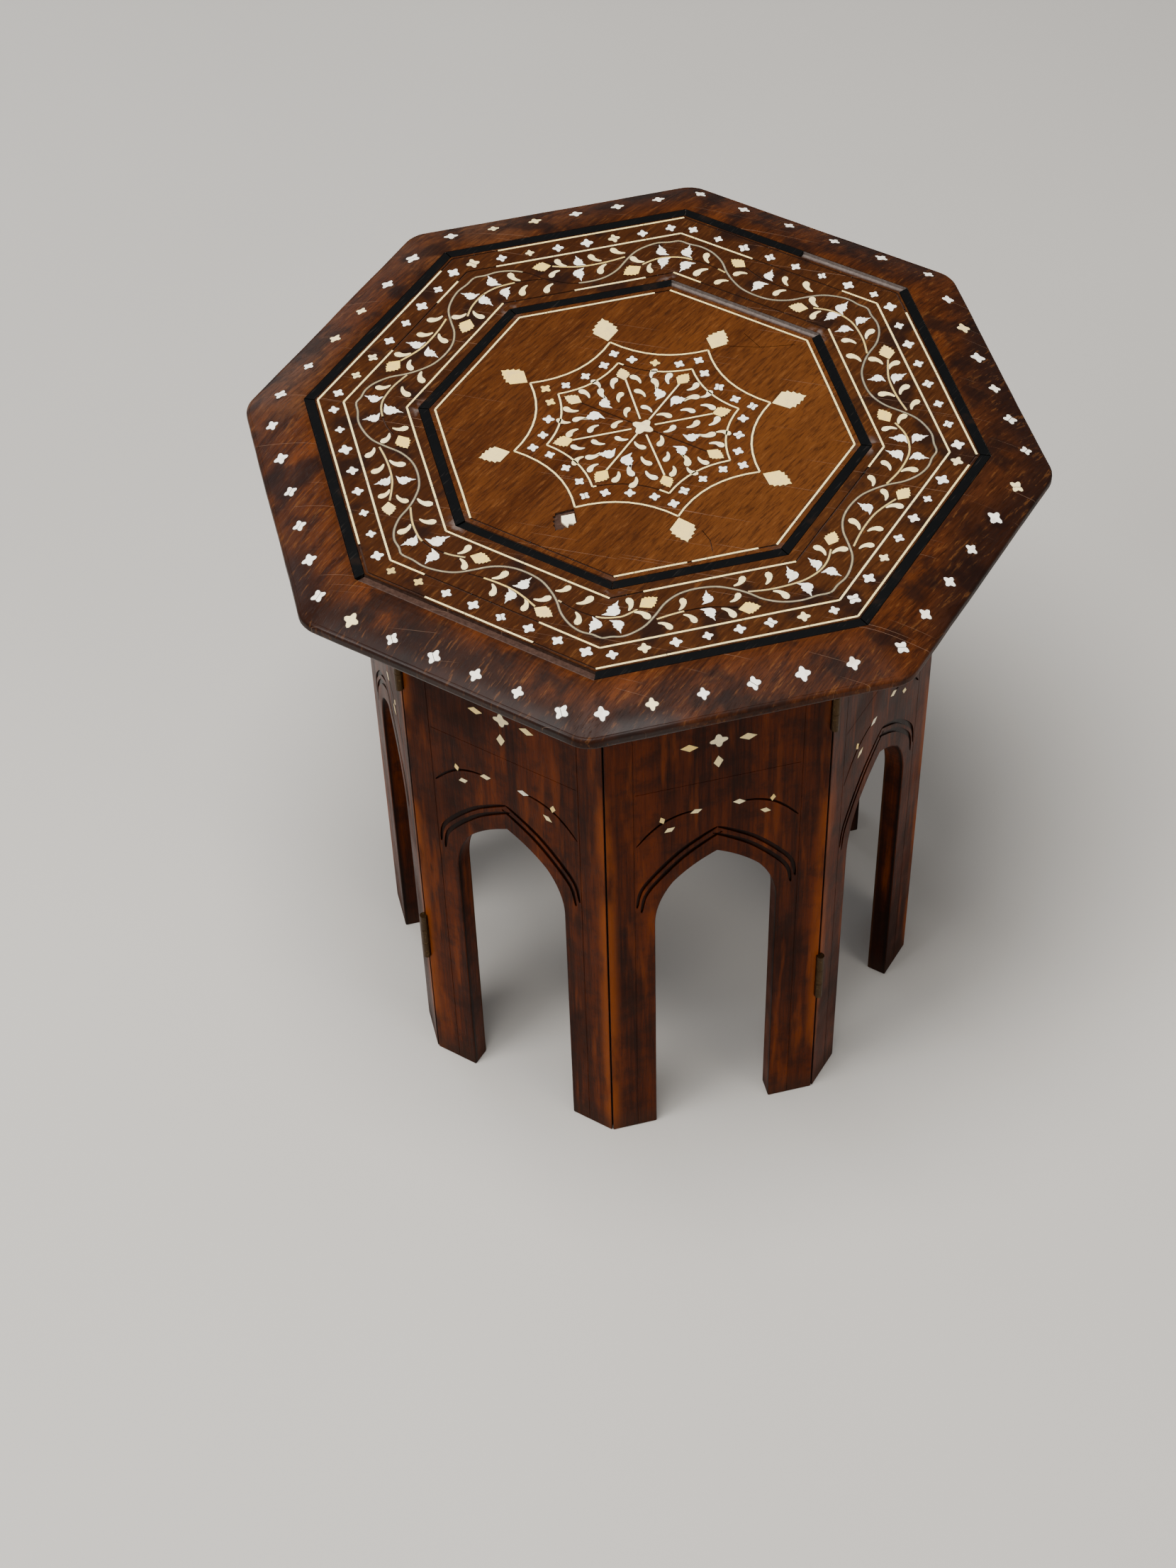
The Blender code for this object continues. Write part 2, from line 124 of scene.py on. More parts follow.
class Finish:
    """A material in the making: its Principled shader and the nodes that feed it."""

    def __init__(self, name, constants=None):
        self.material = bpy.data.materials.new(name)
        self.material.use_nodes = True
        self.tree = self.material.node_tree
        self.shader = self.tree.nodes["Principled BSDF"]
        for socket, value in (constants or {}).items():
            self.shader.inputs[socket].default_value = value
        self.place = self.node("ShaderNodeTexCoord", output="Object")
        self.colour = None               # the colour built up so far

    def feed(self, socket, value):
        if isinstance(value, Wire):
            self.tree.links.new(value.socket, socket)
        else:
            socket.default_value = value

    def node(self, kind, settings=None, inputs=None, output=0):
        made = self.tree.nodes.new(kind)
        for key, value in (settings or {}).items():
            setattr(made, key, value)
        for key, value in (inputs or {}).items():
            self.feed(made.inputs[key], value)
        return Wire(self, made.outputs[output])

    def math(self, operation, *values):
        return self.node("ShaderNodeMath", {"operation": operation}, dict(enumerate(values)))

    def mix(self, share, first, second):
        """Two colours mixed; share is how much of the second."""
        first, second = (item if isinstance(item, Wire) else (*item, 1.0) for item in (first, second))
        settings = {"data_type": "RGBA", "clamp_factor": True}
        return self.node("ShaderNodeMix", settings, {0: share, 6: first, 7: second}, 2)

    def cover(self, share, colour):
        """Lay a colour over those so far; share is how much of it shows."""
        self.colour = self.mix(share, self.colour, colour)

    def rise(self, value, low, high):
        """0 below low, 1 above high, smooth in between; low may be the larger."""
        return self.node("ShaderNodeMapRange", {"interpolation_type": "SMOOTHSTEP"},
                         {"Value": value, "From Min": low, "From Max": high})

    def noise(self, scale, detail=3.0, vector=None, roughness=0.5):
        return self.node("ShaderNodeTexNoise", None,
                         {"Vector": vector or self.place, "Scale": scale,
                          "Detail": detail, "Roughness": roughness})

    def stretched(self, turn, lengths):
        """Coordinates in which one unit is a long way along the grain and a short way across."""
        return self.node("ShaderNodeMapping", {"vector_type": "TEXTURE"},
                         {"Vector": self.place, "Rotation": turn, "Scale": lengths})

    def octagon(self):
        """A point's distance from the table's axis towards the nearest side, its distance
        along that side from the side's middle, and its height."""
        split = [self.node("ShaderNodeSeparateXYZ", None, {0: self.place}, n) for n in range(3)]
        x, y = self.math("ABSOLUTE", split[0]), self.math("ABSOLUTE", split[1])
        longer, shorter = self.math("MAXIMUM", x, y), self.math("MINIMUM", x, y)
        apothem = self.math("MAXIMUM", longer, (longer + shorter) * math.sqrt(0.5))
        along = self.math("MINIMUM", shorter, (longer - shorter) * math.sqrt(0.5))
        return apothem, along, split[2]

    def toward(self, degrees):
        """How far a point lies from the table's axis in one direction."""
        turn = math.radians(degrees)
        return self.node("ShaderNodeVectorMath", {"operation": "DOT_PRODUCT"},
                         {0: self.place, 1: (math.cos(turn), math.sin(turn), 0.0)}, "Value")

    def finish(self, roughness, bump=None, strength=0.3, distance=0.0003):
        self.feed(self.shader.inputs["Base Color"], self.colour)
        self.feed(self.shader.inputs["Roughness"], roughness)
        if bump is not None:
            relief = self.node("ShaderNodeBump", None,
                               {"Height": bump, "Strength": strength, "Distance": distance})
            self.feed(self.shader.inputs["Normal"], relief)
        return self.material


# %% [markdown]
# ## Wood
# Old rosewood has three scales of figure: bands a finger wide, fibres about a millimetre
# wide, and pores that show as short dark dashes. Each is the same noise, stretched along
# the grain by a different amount. The board's grain lies askew to the table's sides, and
# the panels' grain stands upright.

# %% Figure of the wood
BOARD_GRAIN = math.radians(38)


def wood_figure(finish, turn, lengths):
    """Broad bands, fibres and pores, each from 0 to 1, along one grain direction."""
    broad = finish.noise(1.0, 5.0, finish.stretched(turn, lengths["band"]), 0.55)
    fibre = finish.noise(1.0, 4.0, finish.stretched(turn, lengths["fibre"]), 0.6)
    pore = finish.noise(1.0, 2.0, finish.stretched(turn, lengths["pore"]), 0.5)
    return broad, fibre, finish.rise(pore, 0.56, 0.70)


print("three scales of figure, grain askew by", round(math.degrees(BOARD_GRAIN)), "degrees")

# %% [markdown]
# ## The board's wood
# The board's colour is built up like its history. First the field and the darker band, with
# painted light on the front right of the field, then the rim that hands have blackened, with a
# painted sheen at the back left and painted shade on the right, then grain over all of it, and
# at last the dust. Each step covers the one before by a share between 0 and 1.

# %% Wood of the board
def board_noise(finish, detail, lengths):
    """Noise drawn out along the board's own grain."""
    return finish.noise(1.0, detail, finish.stretched((0, 0, BOARD_GRAIN), lengths), 0.65)


def board_field(finish, tone, band):
    """The middle, with painted light that makes it lighter towards the front right, and the darker band that
    holds the vine.
    """
    finish.colour = finish.mix(tone, (0.0320, 0.0076, 0.0014), (0.1000, 0.0304, 0.0058))
    # painted light: the field is painted lighter towards the front right
    painted_light_right = finish.rise(finish.toward(-37.0), -0.02, 0.10)
    finish.cover(painted_light_right * 0.45, (0.1136, 0.0376, 0.0078))
    finish.cover(band * 0.62, (0.0216, 0.0068, 0.0024))


def board_rim(finish, tone, apothem, rim):
    """The rim, with a painted sheen at the back left, blackened where hands take hold of it, and with painted
    shade on the right.
    """
    rim_wood = finish.mix(tone, (0.0144, 0.0038, 0.0013), (0.1000, 0.0256, 0.0050))
    finish.cover(rim, rim_wood)
    patch = finish.rise(finish.noise(14.0, 4.0), 0.42, 0.62)
    # painted sheen: the rim is painted lighter at the back left
    painted_sheen_back_left = finish.rise(finish.toward(-37.0), -0.06, -0.17) * rim * finish.rise(patch, 0.0, 1.2)
    finish.cover(painted_sheen_back_left * 0.6, (0.0960, 0.0400, 0.0176))
    front_left = finish.rise(finish.toward(-135.0), 0.155, 0.172)
    # painted shade: the rim is painted darker on its right side
    shaded_right = finish.rise(finish.toward(-22.5), 0.150, 0.172)
    # outer edge darker: handling dirt all round and most at the front left, with painted shade added on the
    # right
    handled_and_shade = finish.rise(apothem + 0.010 * patch, 0.178, 0.194)
    handled_and_shade = handled_and_shade * (0.28 + 0.62 * front_left + 0.50 * shaded_right)
    finish.cover(handled_and_shade, (0.0120, 0.0050, 0.0037))
    # painted shade on the right side of the rim
    finish.cover(shaded_right * rim * 0.45, (0.0130, 0.0062, 0.0042))
    smear = finish.rise(board_noise(finish, 5.0, (0.030, 0.010, 0.02)), 0.50, 0.66)
    finish.cover(smear * rim * 0.75, (0.0104, 0.0038, 0.0027))
    return front_left


def board_grain(finish, fibre, pore, band):
    """Dark fibres, dark and pale flecks and pores everywhere, and stains in the band."""
    finish.cover(finish.rise(fibre, 0.50, 0.70) * 0.45, (0.0160, 0.0044, 0.0014))
    fleck = board_noise(finish, 4.0, (0.012, 0.0019, 0.005))
    finish.cover(finish.rise(fleck, 0.50, 0.64) * 0.55, (0.0176, 0.0046, 0.0013))
    finish.cover(finish.rise(fleck, 0.44, 0.34) * 0.35, (0.1480, 0.0560, 0.0144))
    finish.cover(pore * 0.60, (0.0080, 0.0024, 0.0010))
    stain = finish.rise(finish.noise(38.0, 5.0), 0.52, 0.64)
    finish.cover(stain * band * 0.75, (0.0080, 0.0036, 0.0027))


def board_dust(finish, apothem, along, height):
    """Dust in every cut, palest against the outer walls of the two ebony channels."""
    speck = finish.noise(600.0, 3.0)
    dust = finish.mix(speck, (0.0096, 0.0040, 0.0028), (0.0760, 0.0416, 0.0304))
    settled = finish.mix(speck, (0.0600, 0.0464, 0.0416), (0.2080, 0.1760, 0.1600))
    inner_wall = finish.rise(apothem, 0.1088, 0.1104) * finish.rise(apothem, 0.1150, 0.1130)
    outer_wall = finish.rise(apothem, 0.1660, 0.1676)
    dust = finish.mix((outer_wall + inner_wall) * 0.85, dust, settled)
    corner = finish.rise(apothem * SLOPE - along, 0.010, 0.001)
    inner = finish.rise(apothem, 0.101, 0.106) * finish.rise(apothem, 0.121, 0.115)
    broken = corner * inner * finish.rise(finish.noise(120.0, 3.0), 0.46, 0.60)
    finish.cover(broken * 0.7, dust)
    inside_rim = finish.rise(apothem, 0.1707, 0.1697)
    depth = finish.rise(TOP - height, 0.25 * MM, 0.6 * MM) * inside_rim
    shallow = finish.rise(TOP - height, 5.0 * MM, 4.0 * MM)
    finish.cover(depth * shallow, dust)
    return depth


def board_finish():
    finish = Finish("rosewood_board", {"Specular IOR Level": 0.07, "Coat Roughness": 0.28})
    apothem, along, height = finish.octagon()
    broad, fibre, pore = wood_figure(finish, (0, 0, BOARD_GRAIN), {
        "band": (0.16, 0.016, 0.03), "fibre": (0.030, 0.0012, 0.006), "pore": (0.007, 0.0004, 0.003)})
    tone = finish.rise(broad * 0.55 + fibre * 0.45, 0.30, 0.70)
    band = finish.rise(apothem, 0.100, 0.118)
    rim = finish.rise(apothem, 0.166, 0.171)
    board_field(finish, tone, band)
    front_left = board_rim(finish, tone, apothem, rim)
    board_grain(finish, fibre, pore, band)
    depth = board_dust(finish, apothem, along, height)
    under = finish.rise(height, UNDERSIDE + 1.5 * MM, UNDERSIDE + 0.2 * MM)
    raw = finish.mix(tone, (0.0800, 0.0400, 0.0208), (0.1920, 0.1040, 0.0560))
    finish.cover(under, raw)
    scratch = finish.noise(1.0, 1.0, finish.stretched((0, 0, -0.5), (0.09, 0.0006, 0.05)))
    scratch = finish.rise(scratch, 0.735, 0.76)
    finish.cover(scratch * 0.30, (0.2640, 0.1600, 0.1040))
    off_corner = finish.rise(apothem * SLOPE - along, 0.004, 0.016)
    polish = front_left * off_corner * finish.rise(apothem, 0.189, 0.197)
    finish.feed(finish.shader.inputs["Coat Weight"], polish * 0.22)
    gloss = 0.38 + 0.16 * finish.noise(40.0, 4.0) + 0.35 * depth + 0.2 * under - 0.04 * rim
    relief = fibre * 0.5 - pore * 0.6 + finish.noise(90.0, 4.0) * 0.6 - scratch * 0.4
    return finish.finish(gloss, relief, 0.35, 0.25 * MM)


board_wood = board_finish()
print("finish:", board_wood.name)

# %% [markdown]
# ## Wood of the base, and deal
# The panels are redder, with painted orange glints up their legs. Their corners are rubbed
# and carry a painted highlight, their grooves are painted near black as shade, their insides
# were never polished, and the floor has dulled their feet.

# %% Wood of the base
def base_finish():
    finish = Finish("rosewood_base", {"Specular IOR Level": 0.045})
    apothem, along, height = finish.octagon()
    broad, fibre, pore = wood_figure(finish, (0, 0, 0), {
        "band": (0.014, 0.014, 0.20), "fibre": (0.0013, 0.0013, 0.045), "pore": (0.0005, 0.0005, 0.008)})
    tone = finish.rise(broad * 0.6 + fibre * 0.4, 0.32, 0.70)
    finish.colour = finish.mix(tone, (0.0150, 0.0022, 0.0002), (0.0980, 0.0165, 0.0006))
    grime = finish.rise(finish.noise(11.0, 5.0), 0.45, 0.68)
    finish.cover(grime * 0.55, (0.0120, 0.0024, 0.0008))
    mottle = finish.rise(finish.noise(75.0, 6.0, roughness=0.65), 0.44, 0.64)
    finish.cover(mottle * 0.55, (0.010, 0.0028, 0.0010))
    # painted glints: orange streaks stretched up the panels
    painted_glint = finish.noise(1.0, 3.0, finish.stretched((0, 0, 0), (0.007, 0.007, 0.07)))
    finish.cover(finish.rise(painted_glint, 0.54, 0.72) * 0.55, (0.160, 0.031, 0.0015))
    finish.cover(pore * 0.5, (0.008, 0.0028, 0.0012))
    outside = finish.rise(apothem, 0.1465, 0.1490)
    to_corner = apothem * SLOPE - along
    uneven = finish.noise(1.0, 4.0, finish.stretched((0, 0, 0), (0.02, 0.02, 0.07)))
    # orange along the outer corners: rubbed wear with a painted highlight on the rounded edge
    rubbed_and_highlight = finish.rise(to_corner, 8.0 * MM, 1.5 * MM) * outside * finish.rise(uneven, 0.40, 0.60)
    finish.cover(rubbed_and_highlight * 0.70, (0.215, 0.047, 0.0030))
    joint = finish.rise(to_corner, 0.95 * MM, 0.45 * MM)
    finish.cover(joint * 0.85, (0.006, 0.0025, 0.0015))
    # painted shade: the carved grooves are painted near black
    groove = finish.rise(apothem, 0.1498, 0.1494) * outside
    finish.cover(groove * 0.88, (0.005, 0.0020, 0.0012))
    inside = finish.rise(apothem, 0.1400, 0.1385)
    raw = finish.mix(tone, (0.045, 0.016, 0.006), (0.120, 0.050, 0.020))
    finish.cover(inside * 0.8, raw)
    foot = finish.rise(height, 0.022, 0.002)
    finish.cover(foot * 0.5, (0.030, 0.018, 0.013))
    gloss = 0.30 + 0.18 * finish.noise(35.0, 4.0) + 0.12 * grime + 0.25 * inside + 0.15 * foot
    relief = fibre * 0.5 - pore * 0.5 + finish.noise(70.0, 4.0) * 0.7
    return finish.finish(gloss, relief, 0.40, 0.25 * MM)


def plain_wood_finish():
    """Deal, sawn and never polished, under the board."""
    finish = Finish("deal_blocks")
    broad, fibre, pore = wood_figure(finish, (0, 0, 0), {
        "band": (0.02, 0.09, 0.01), "fibre": (0.0016, 0.03, 0.0016), "pore": (0.0006, 0.006, 0.0006)})
    finish.colour = finish.mix(broad * 0.5 + fibre * 0.5, (0.20, 0.10, 0.045), (0.42, 0.25, 0.125))
    finish.cover(pore * 0.4, (0.10, 0.05, 0.025))
    return finish.finish(0.62 + 0.2 * broad, fibre - pore, 0.4, 0.3 * MM)


base_wood, deal = base_finish(), plain_wood_finish()
print("finishes:", base_wood.name, deal.name)

# %% [markdown]
# ## Bone, ebony, brass and mastic
# Bone is nearly white when fresh and yellows by piece, so each inlay carries a number of
# its own, its tone, and the finish turns that into a colour. Ebony is black with pale
# scuffs. The hinges' brass has gone brown except where it rubs. Mastic is the dark glue
# that fills the saw cut round every inlay.

# %% Inlay and metal finishes
def bone_finish():
    finish = Finish("bone", {"Coat Weight": 0.15, "Coat Roughness": 0.3})
    tone = finish.node("ShaderNodeAttribute", {"attribute_name": "tone"}, None, "Fac")
    finish.colour = finish.mix(finish.rise(tone, 0.0, 0.5), (0.96, 0.93, 0.82), (0.92, 0.74, 0.34))
    finish.cover(finish.rise(tone, 0.5, 1.0), (0.92, 0.62, 0.13))
    finish.cover(finish.rise(tone, 1.0, 2.0), (0.20, 0.175, 0.115))
    cloud = finish.noise(260.0, 4.0)
    streak = finish.noise(1.0, 2.0, finish.stretched((0, 0, 0.6), (0.004, 0.0005, 0.004)))
    finish.cover(finish.rise(cloud, 0.48, 0.75) * 0.40, (0.55, 0.42, 0.27))
    finish.cover(finish.rise(streak, 0.60, 0.72) * 0.35, (0.38, 0.28, 0.18))
    return finish.finish(0.34 + 0.2 * cloud, streak * -0.6 + cloud * 0.4, 0.25, 0.1 * MM)


def ebony_finish():
    finish = Finish("ebony", {"Specular IOR Level": 0.08})
    scuff = finish.noise(1.0, 3.0, finish.stretched((0, 0, 0.7), (0.012, 0.0008, 0.01)))
    cloud = finish.noise(60.0, 4.0)
    scuffed = finish.rise(scuff, 0.60, 0.74) * 0.5
    finish.colour = finish.mix(scuffed, (0.0022, 0.0024, 0.0026), (0.030, 0.024, 0.020))
    finish.cover(finish.rise(cloud, 0.60, 0.72) * 0.35, (0.022, 0.010, 0.005))
    return finish.finish(0.34 + 0.25 * cloud, scuff + cloud * 0.5, 0.3, 0.15 * MM)


def brass_finish():
    finish = Finish("aged_brass", {"Metallic": 1.0})
    cloud, speck = finish.noise(90.0, 4.0), finish.noise(700.0, 3.0)
    finish.colour = finish.mix(cloud, (0.022, 0.012, 0.006), (0.075, 0.042, 0.016))
    finish.cover(finish.rise(speck, 0.55, 0.72) * 0.4, (0.20, 0.125, 0.045))
    return finish.finish(0.38 + 0.3 * cloud, speck * 0.4 + cloud, 0.3, 0.1 * MM)


def mastic_finish():
    finish = Finish("mastic")
    cloud = finish.noise(300.0, 3.0)
    finish.colour = finish.mix(cloud, (0.005, 0.0028, 0.0020), (0.020, 0.0085, 0.0050))
    return finish.finish(0.5 + 0.25 * cloud, cloud, 0.3, 0.1 * MM)


bone, ebony, brass, mastic = bone_finish(), ebony_finish(), brass_finish(), mastic_finish()
print("inlay finishes:", bone.name, ebony.name, brass.name, mastic.name)

# %% [markdown]
# ## Places on the board
# The inlay repeats eight times, so it is drawn once for one side. A spot is given by how
# far along the side it lies and how far out from the table's axis, both in millimetres,
# and a function turns that into a place on the board. Routes are smooth curves through a
# few chosen spots.

# %% Spots, routes and outlines
def side_angle(side):
    return side * 2 * HALF_TURN


def spot(side, along, out):
    """A place on the board, in millimetres, from one side's own measures."""
    turn = side_angle(side)
    return Vector((out * math.cos(turn) + along * math.sin(turn),
                   out * math.sin(turn) - along * math.cos(turn)))


def smooth(points, steps):
    """A Catmull-Rom curve through the points."""
    last = len(points) - 1
    curve = []
    for n in range(last):
        a, b, c, d = (Vector(points[max(0, min(last, n + k))]) for k in (-1, 0, 1, 2))
        for step in range(steps):
            s = step / steps
            curve.append(0.5 * (2 * b + (c - a) * s + (2 * a - 5 * b + 4 * c - d) * s * s
                                + (3 * b - a - 3 * c + d) * s ** 3))
    return [*curve, Vector(points[-1])]


def flank(route, width):
    """The two edges of a strip that follows a route; width is a number or one for each point."""
    left, right = [], []
    for n, point in enumerate(route):
        ahead = route[min(n + 1, len(route) - 1)] - route[max(n - 1, 0)]
        across = Vector((-ahead.y, ahead.x)).normalized()
        half = (width[n] if isinstance(width, list) else width) / 2
        left.append(point + across * half)
        right.append(point - across * half)
    return left, right


def strip_outline(route, width):
    left, right = flank(route, width)
    return left + right[::-1]


def placed(shape, centre, turn, size, flip=1):
    """An outline scaled, mirrored if flip is -1, turned and moved to its place."""
    c, s = math.cos(turn), math.sin(turn)
    return [Vector((centre[0] + size * (x * c - flip * y * s),
                    centre[1] + size * (x * s + flip * y * c))) for x, y in shape]


def grown(outline, margin):
    """The outline moved outwards by a margin, for the saw cut that holds it."""
    count = len(outline)
    area = sum(outline[n - 1].x * outline[n].y - outline[n].x * outline[n - 1].y for n in range(count))
    way = 1 if area > 0 else -1
    moved = []
    for n, point in enumerate(outline):
        into, away = point - outline[n - 1], outline[(n + 1) % count] - point
        normal = Vector((into.y, -into.x)).normalized() + Vector((away.y, -away.x)).normalized()
        moved.append(point + normal.normalized() * margin * way)
    return moved


# %% [markdown]
# ## The bone motifs
# The inlayer saws a handful of shapes again and again: a four-lobed flower, a comma leaf,
# a winged leaf, a toothed bud and a lozenge. Curved ones come from a formula, toothed ones
# from a few points of half an outline. Each is one unit long and points along +X.

# %% Motifs
def four_lobes(points=24):
    """A flower with a lobe on each axis."""
    return [((0.39 + 0.11 * math.cos(4 * a)) * math.cos(a), (0.39 + 0.11 * math.cos(4 * a)) * math.sin(a))
            for a in (2 * math.pi * n / points for n in range(points))]


def comma(bend=1.15, stations=9):
    """A round body whose tail curls away, centred on its length."""
    route, widths, heading, point = [], [], -bend * 0.62, Vector((0, 0))
    for n in range(stations):
        share = n / (stations - 1)
        body = math.sqrt(max(0.0, 1 - ((share - 0.25) / 0.27) ** 2)) if share < 0.5 else 0.0
        tail = 0.36 * (1 - share) ** 0.8 + 0.07
        route.append(point.copy())
        widths.append(max(0.40 * body, tail if share > 0.3 else 0.06))
        heading += bend / stations * (1.6 if 0.3 < share < 0.8 else 0.4)
        point = point + Vector((math.cos(heading), math.sin(heading))) / (stations - 1)
    outline = strip_outline(route, widths)
    middle = (route[0] + route[-1]) / 2
    return [(p.x - middle.x, p.y - middle.y) for p in outline]


WINGED_SIZE = 0.9
WINGED = [(0.56, 0.03), (0.26, 0.07), (0.15, 0.20), (0.10, 0.15), (-0.02, 0.30), (-0.22, 0.32),
          (-0.40, 0.16), (-0.46, -0.10), (-0.52, -0.42), (-0.30, -0.22), (-0.18, -0.30),
          (-0.04, -0.24), (0.03, -0.29), (0.16, -0.13), (0.24, -0.14), (0.32, -0.05)]
TOOTHED_HALF = [(-0.50, 0.0), (-0.10, 0.36), (0.00, 0.31), (0.06, 0.36), (0.14, 0.24),
                (0.21, 0.27), (0.28, 0.15), (0.35, 0.16), (0.40, 0.06), (0.50, 0.0)]
TOOTHED = TOOTHED_HALF + [(x, -y) for x, y in TOOTHED_HALF[-2:0:-1]]
LOZENGE = [(-0.5, 0.0), (-0.05, 0.28), (0.5, 0.0), (0.05, -0.28)]
MOTIFS = {"flower": four_lobes(), "comma": comma(), "bud": TOOTHED, "lozenge": LOZENGE,
          "winged": [(WINGED_SIZE * x, WINGED_SIZE * y) for x, y in WINGED]}
print("motifs", {name: len(points) for name, points in MOTIFS.items()})

# %% [markdown]
# ## Collecting the inlay
# A tray holds every outline before anything is modelled: which are bone and in what tone,
# which saw cuts are empty because their bone fell out, and which hairline cracks cross a
# piece. Hand work is never exact, so each motif is nudged, turned and scaled a little by
# a seeded random draw.

# %% The tray
hand = random.Random(7)
LINE_WIDTH, STEM_WIDTH, CRACK_WIDTH = 1.0, 0.9, 0.30     # millimetres, as all measures on the board
WHITE, CREAM, YELLOW, GREY = 0.0, 0.45, 0.85, 1.35
plates = {"lines": [], "stems": [], "flowers": [], "leaves": []}
lost, cracks = [], []


def lay(kind, tray, centre, turn, size, tone, flip=1):
    """Put one motif on the board, as a hand would."""
    centre = Vector(centre) + Vector((hand.uniform(-0.35, 0.35), hand.uniform(-0.35, 0.35)))
    turn += math.radians(hand.uniform(-7, 7))
    size *= hand.uniform(0.92, 1.07)
    tone = max(0.0, tone + hand.uniform(-0.10, 0.12))
    plates[tray].append((placed(MOTIFS[kind], centre, turn, size, flip), tone))


def lay_strip(tray, route, width, tone, gone=()):
    """A strip of bone along a route, with the stretches that are gone left as empty cuts.

    A stretch is given by two shares of the route's length."""
    lengths = [0.0]
    for before, after in zip(route, route[1:]):
        lengths.append(lengths[-1] + (after - before).length)
    total = lengths[-1]
    cuts = sorted({0.0, 1.0, *(edge for span in gone for edge in span)})
    for low, high in zip(cuts, cuts[1:]):
        piece = cut_route(route, lengths, low * total + 0.06, high * total - 0.06)
        if any(span[0] <= low and high <= span[1] for span in gone):
            lost.append(strip_outline(piece, width * 0.95))
        else:
            plates[tray].append((strip_outline(piece, width), tone + hand.uniform(-0.08, 0.10)))


def cut_route(route, lengths, low, high):
    """The part of a route between two distances along it."""
    def at(distance):
        for n in range(1, len(route)):
            if lengths[n] >= distance or n == len(route) - 1:
                share = (distance - lengths[n - 1]) / (lengths[n] - lengths[n - 1])
                return route[n - 1].lerp(route[n], share)
    inner = [p for p, d in zip(route, lengths) if low + 0.2 < d < high - 0.2]
    return [at(low), *inner, at(high)]


def crack(centre, turn, length):
    step = Vector((math.cos(turn), math.sin(turn))) * length / 2
    cracks.append(strip_outline([Vector(centre) - step, Vector(centre) + step], CRACK_WIDTH))


# %% [markdown]
# ## Four ring lines
# Thin bone lines frame the bands. Each runs along the eight sides and mitres at the
# corners. Much of the bone has dropped out over the years, so each line says, side by
# side, which stretches are gone; an old side's empty cut shows as a dusty groove.

# %% Ring lines
RINGS = {161.6: {0: [(-67, -50)], 1: [(-67, 67)], 2: [(-67, -41)], 3: [(55, 67)], 4: [(-67, -46)],
                 5: [(-67, -31), (32.5, 67)], 7: [(-67, -58)]},
         148.6: {1: [(-16, 40)], 2: [(-62, -45)], 3: [(-14, 31), (52, 62)], 5: [(-26.5, 41)]},
         117.0: {1: [(-31, 48.5)], 2: [(-49, -8), (32.5, 49)], 6: [(31, 49)], 7: [(-31, 49)]},
         102.9: {2: [(34, 43)], 5: [(-43, 43)], 6: [(-43, -33), (2, 4.5)]}}


def lay_ring_line(out, side, gone):
    half = out * SLOPE
    spans = [((max(low, -half) + half) / (2 * half), (min(high, half) + half) / (2 * half))
             for low, high in gone]
    waver = [hand.uniform(-0.12, 0.12) for _ in range(5)]
    ends = [-half + half * 2 * n / 4 for n in range(5)]
    route = [spot(side, along, out + (0 if n in (0, 4) else waver[n])) for n, along in enumerate(ends)]
    lay_strip("lines", route, LINE_WIDTH, CREAM + 0.15, spans)
    for _ in range(2):
        crack(spot(side, hand.uniform(-half, half) * 0.9, out), side_angle(side), LINE_WIDTH + 0.2)


for ring, losses in RINGS.items():
    for number in range(SIDES):
        lay_ring_line(ring, number, losses.get(number, []))
print("ring lines", len(plates["lines"]), "pieces,", len(lost), "gone")

# %% [markdown]
# ## Rows of flowers
# A row of eight four-lobed flowers runs between the two outer lines on each side, and
# larger ones run round the rim, six to a side. Each side's row has a start, a step and a
# distance out of its own.

# %% Flower rows
ROW_OUT, ROW_COUNT, ROW_STEP = 154.6, 8, 16.3
RIM_COUNT = 6
# where each side's row starts, its step, and how far out it runs
RIM_ROWS = ((-60.0, 25.2, 189.5), (-73.0, 29.0, 190.5), (-62.5, 24.2, 186.0), (-70.5, 26.0, 183.5),
            (-72.0, 26.1, 188.0), (-64.0, 24.5, 190.0), (-56.5, 25.4, 187.4), (-59.5, 26.1, 188.3))


def lay_flower(centre, turn, size, tone):
    lay("flower", "flowers", centre, turn, size, tone)
    if hand.random() < 0.30:
        crack(centre, turn + math.pi / 4, size * 0.8)


for number in range(SIDES):
    for place in range(ROW_COUNT):
        tone = CREAM if hand.random() < 0.14 else WHITE
        tone = GREY if (number, place) in ((5, 6), (5, 7)) else tone
        lay_flower(spot(number, (place - (ROW_COUNT - 1) / 2) * ROW_STEP, ROW_OUT),
                   side_angle(number), hand.choice((5.6, 6.2, 6.8, 7.2)), tone)
for number, (first, step, out) in enumerate(RIM_ROWS):
    for place in range(RIM_COUNT):
        lay_flower(spot(number, first + place * step, out), side_angle(number),
                   hand.choice((6.8, 7.5, 8.2)), CREAM if hand.random() < 0.12 else WHITE)
print("flowers", len(plates["flowers"]))

# %% [markdown]
# ## The vine
# One wavy stem goes right round the inner band, cresting at each corner and dipping in the
# middle of each side. Two branches leave it on every side. One turns the corner and ends
# in a yellow bud on the next side; the other runs level and ends in a bud on its own.
# Comma leaves and winged leaves stand on both sides of each branch.

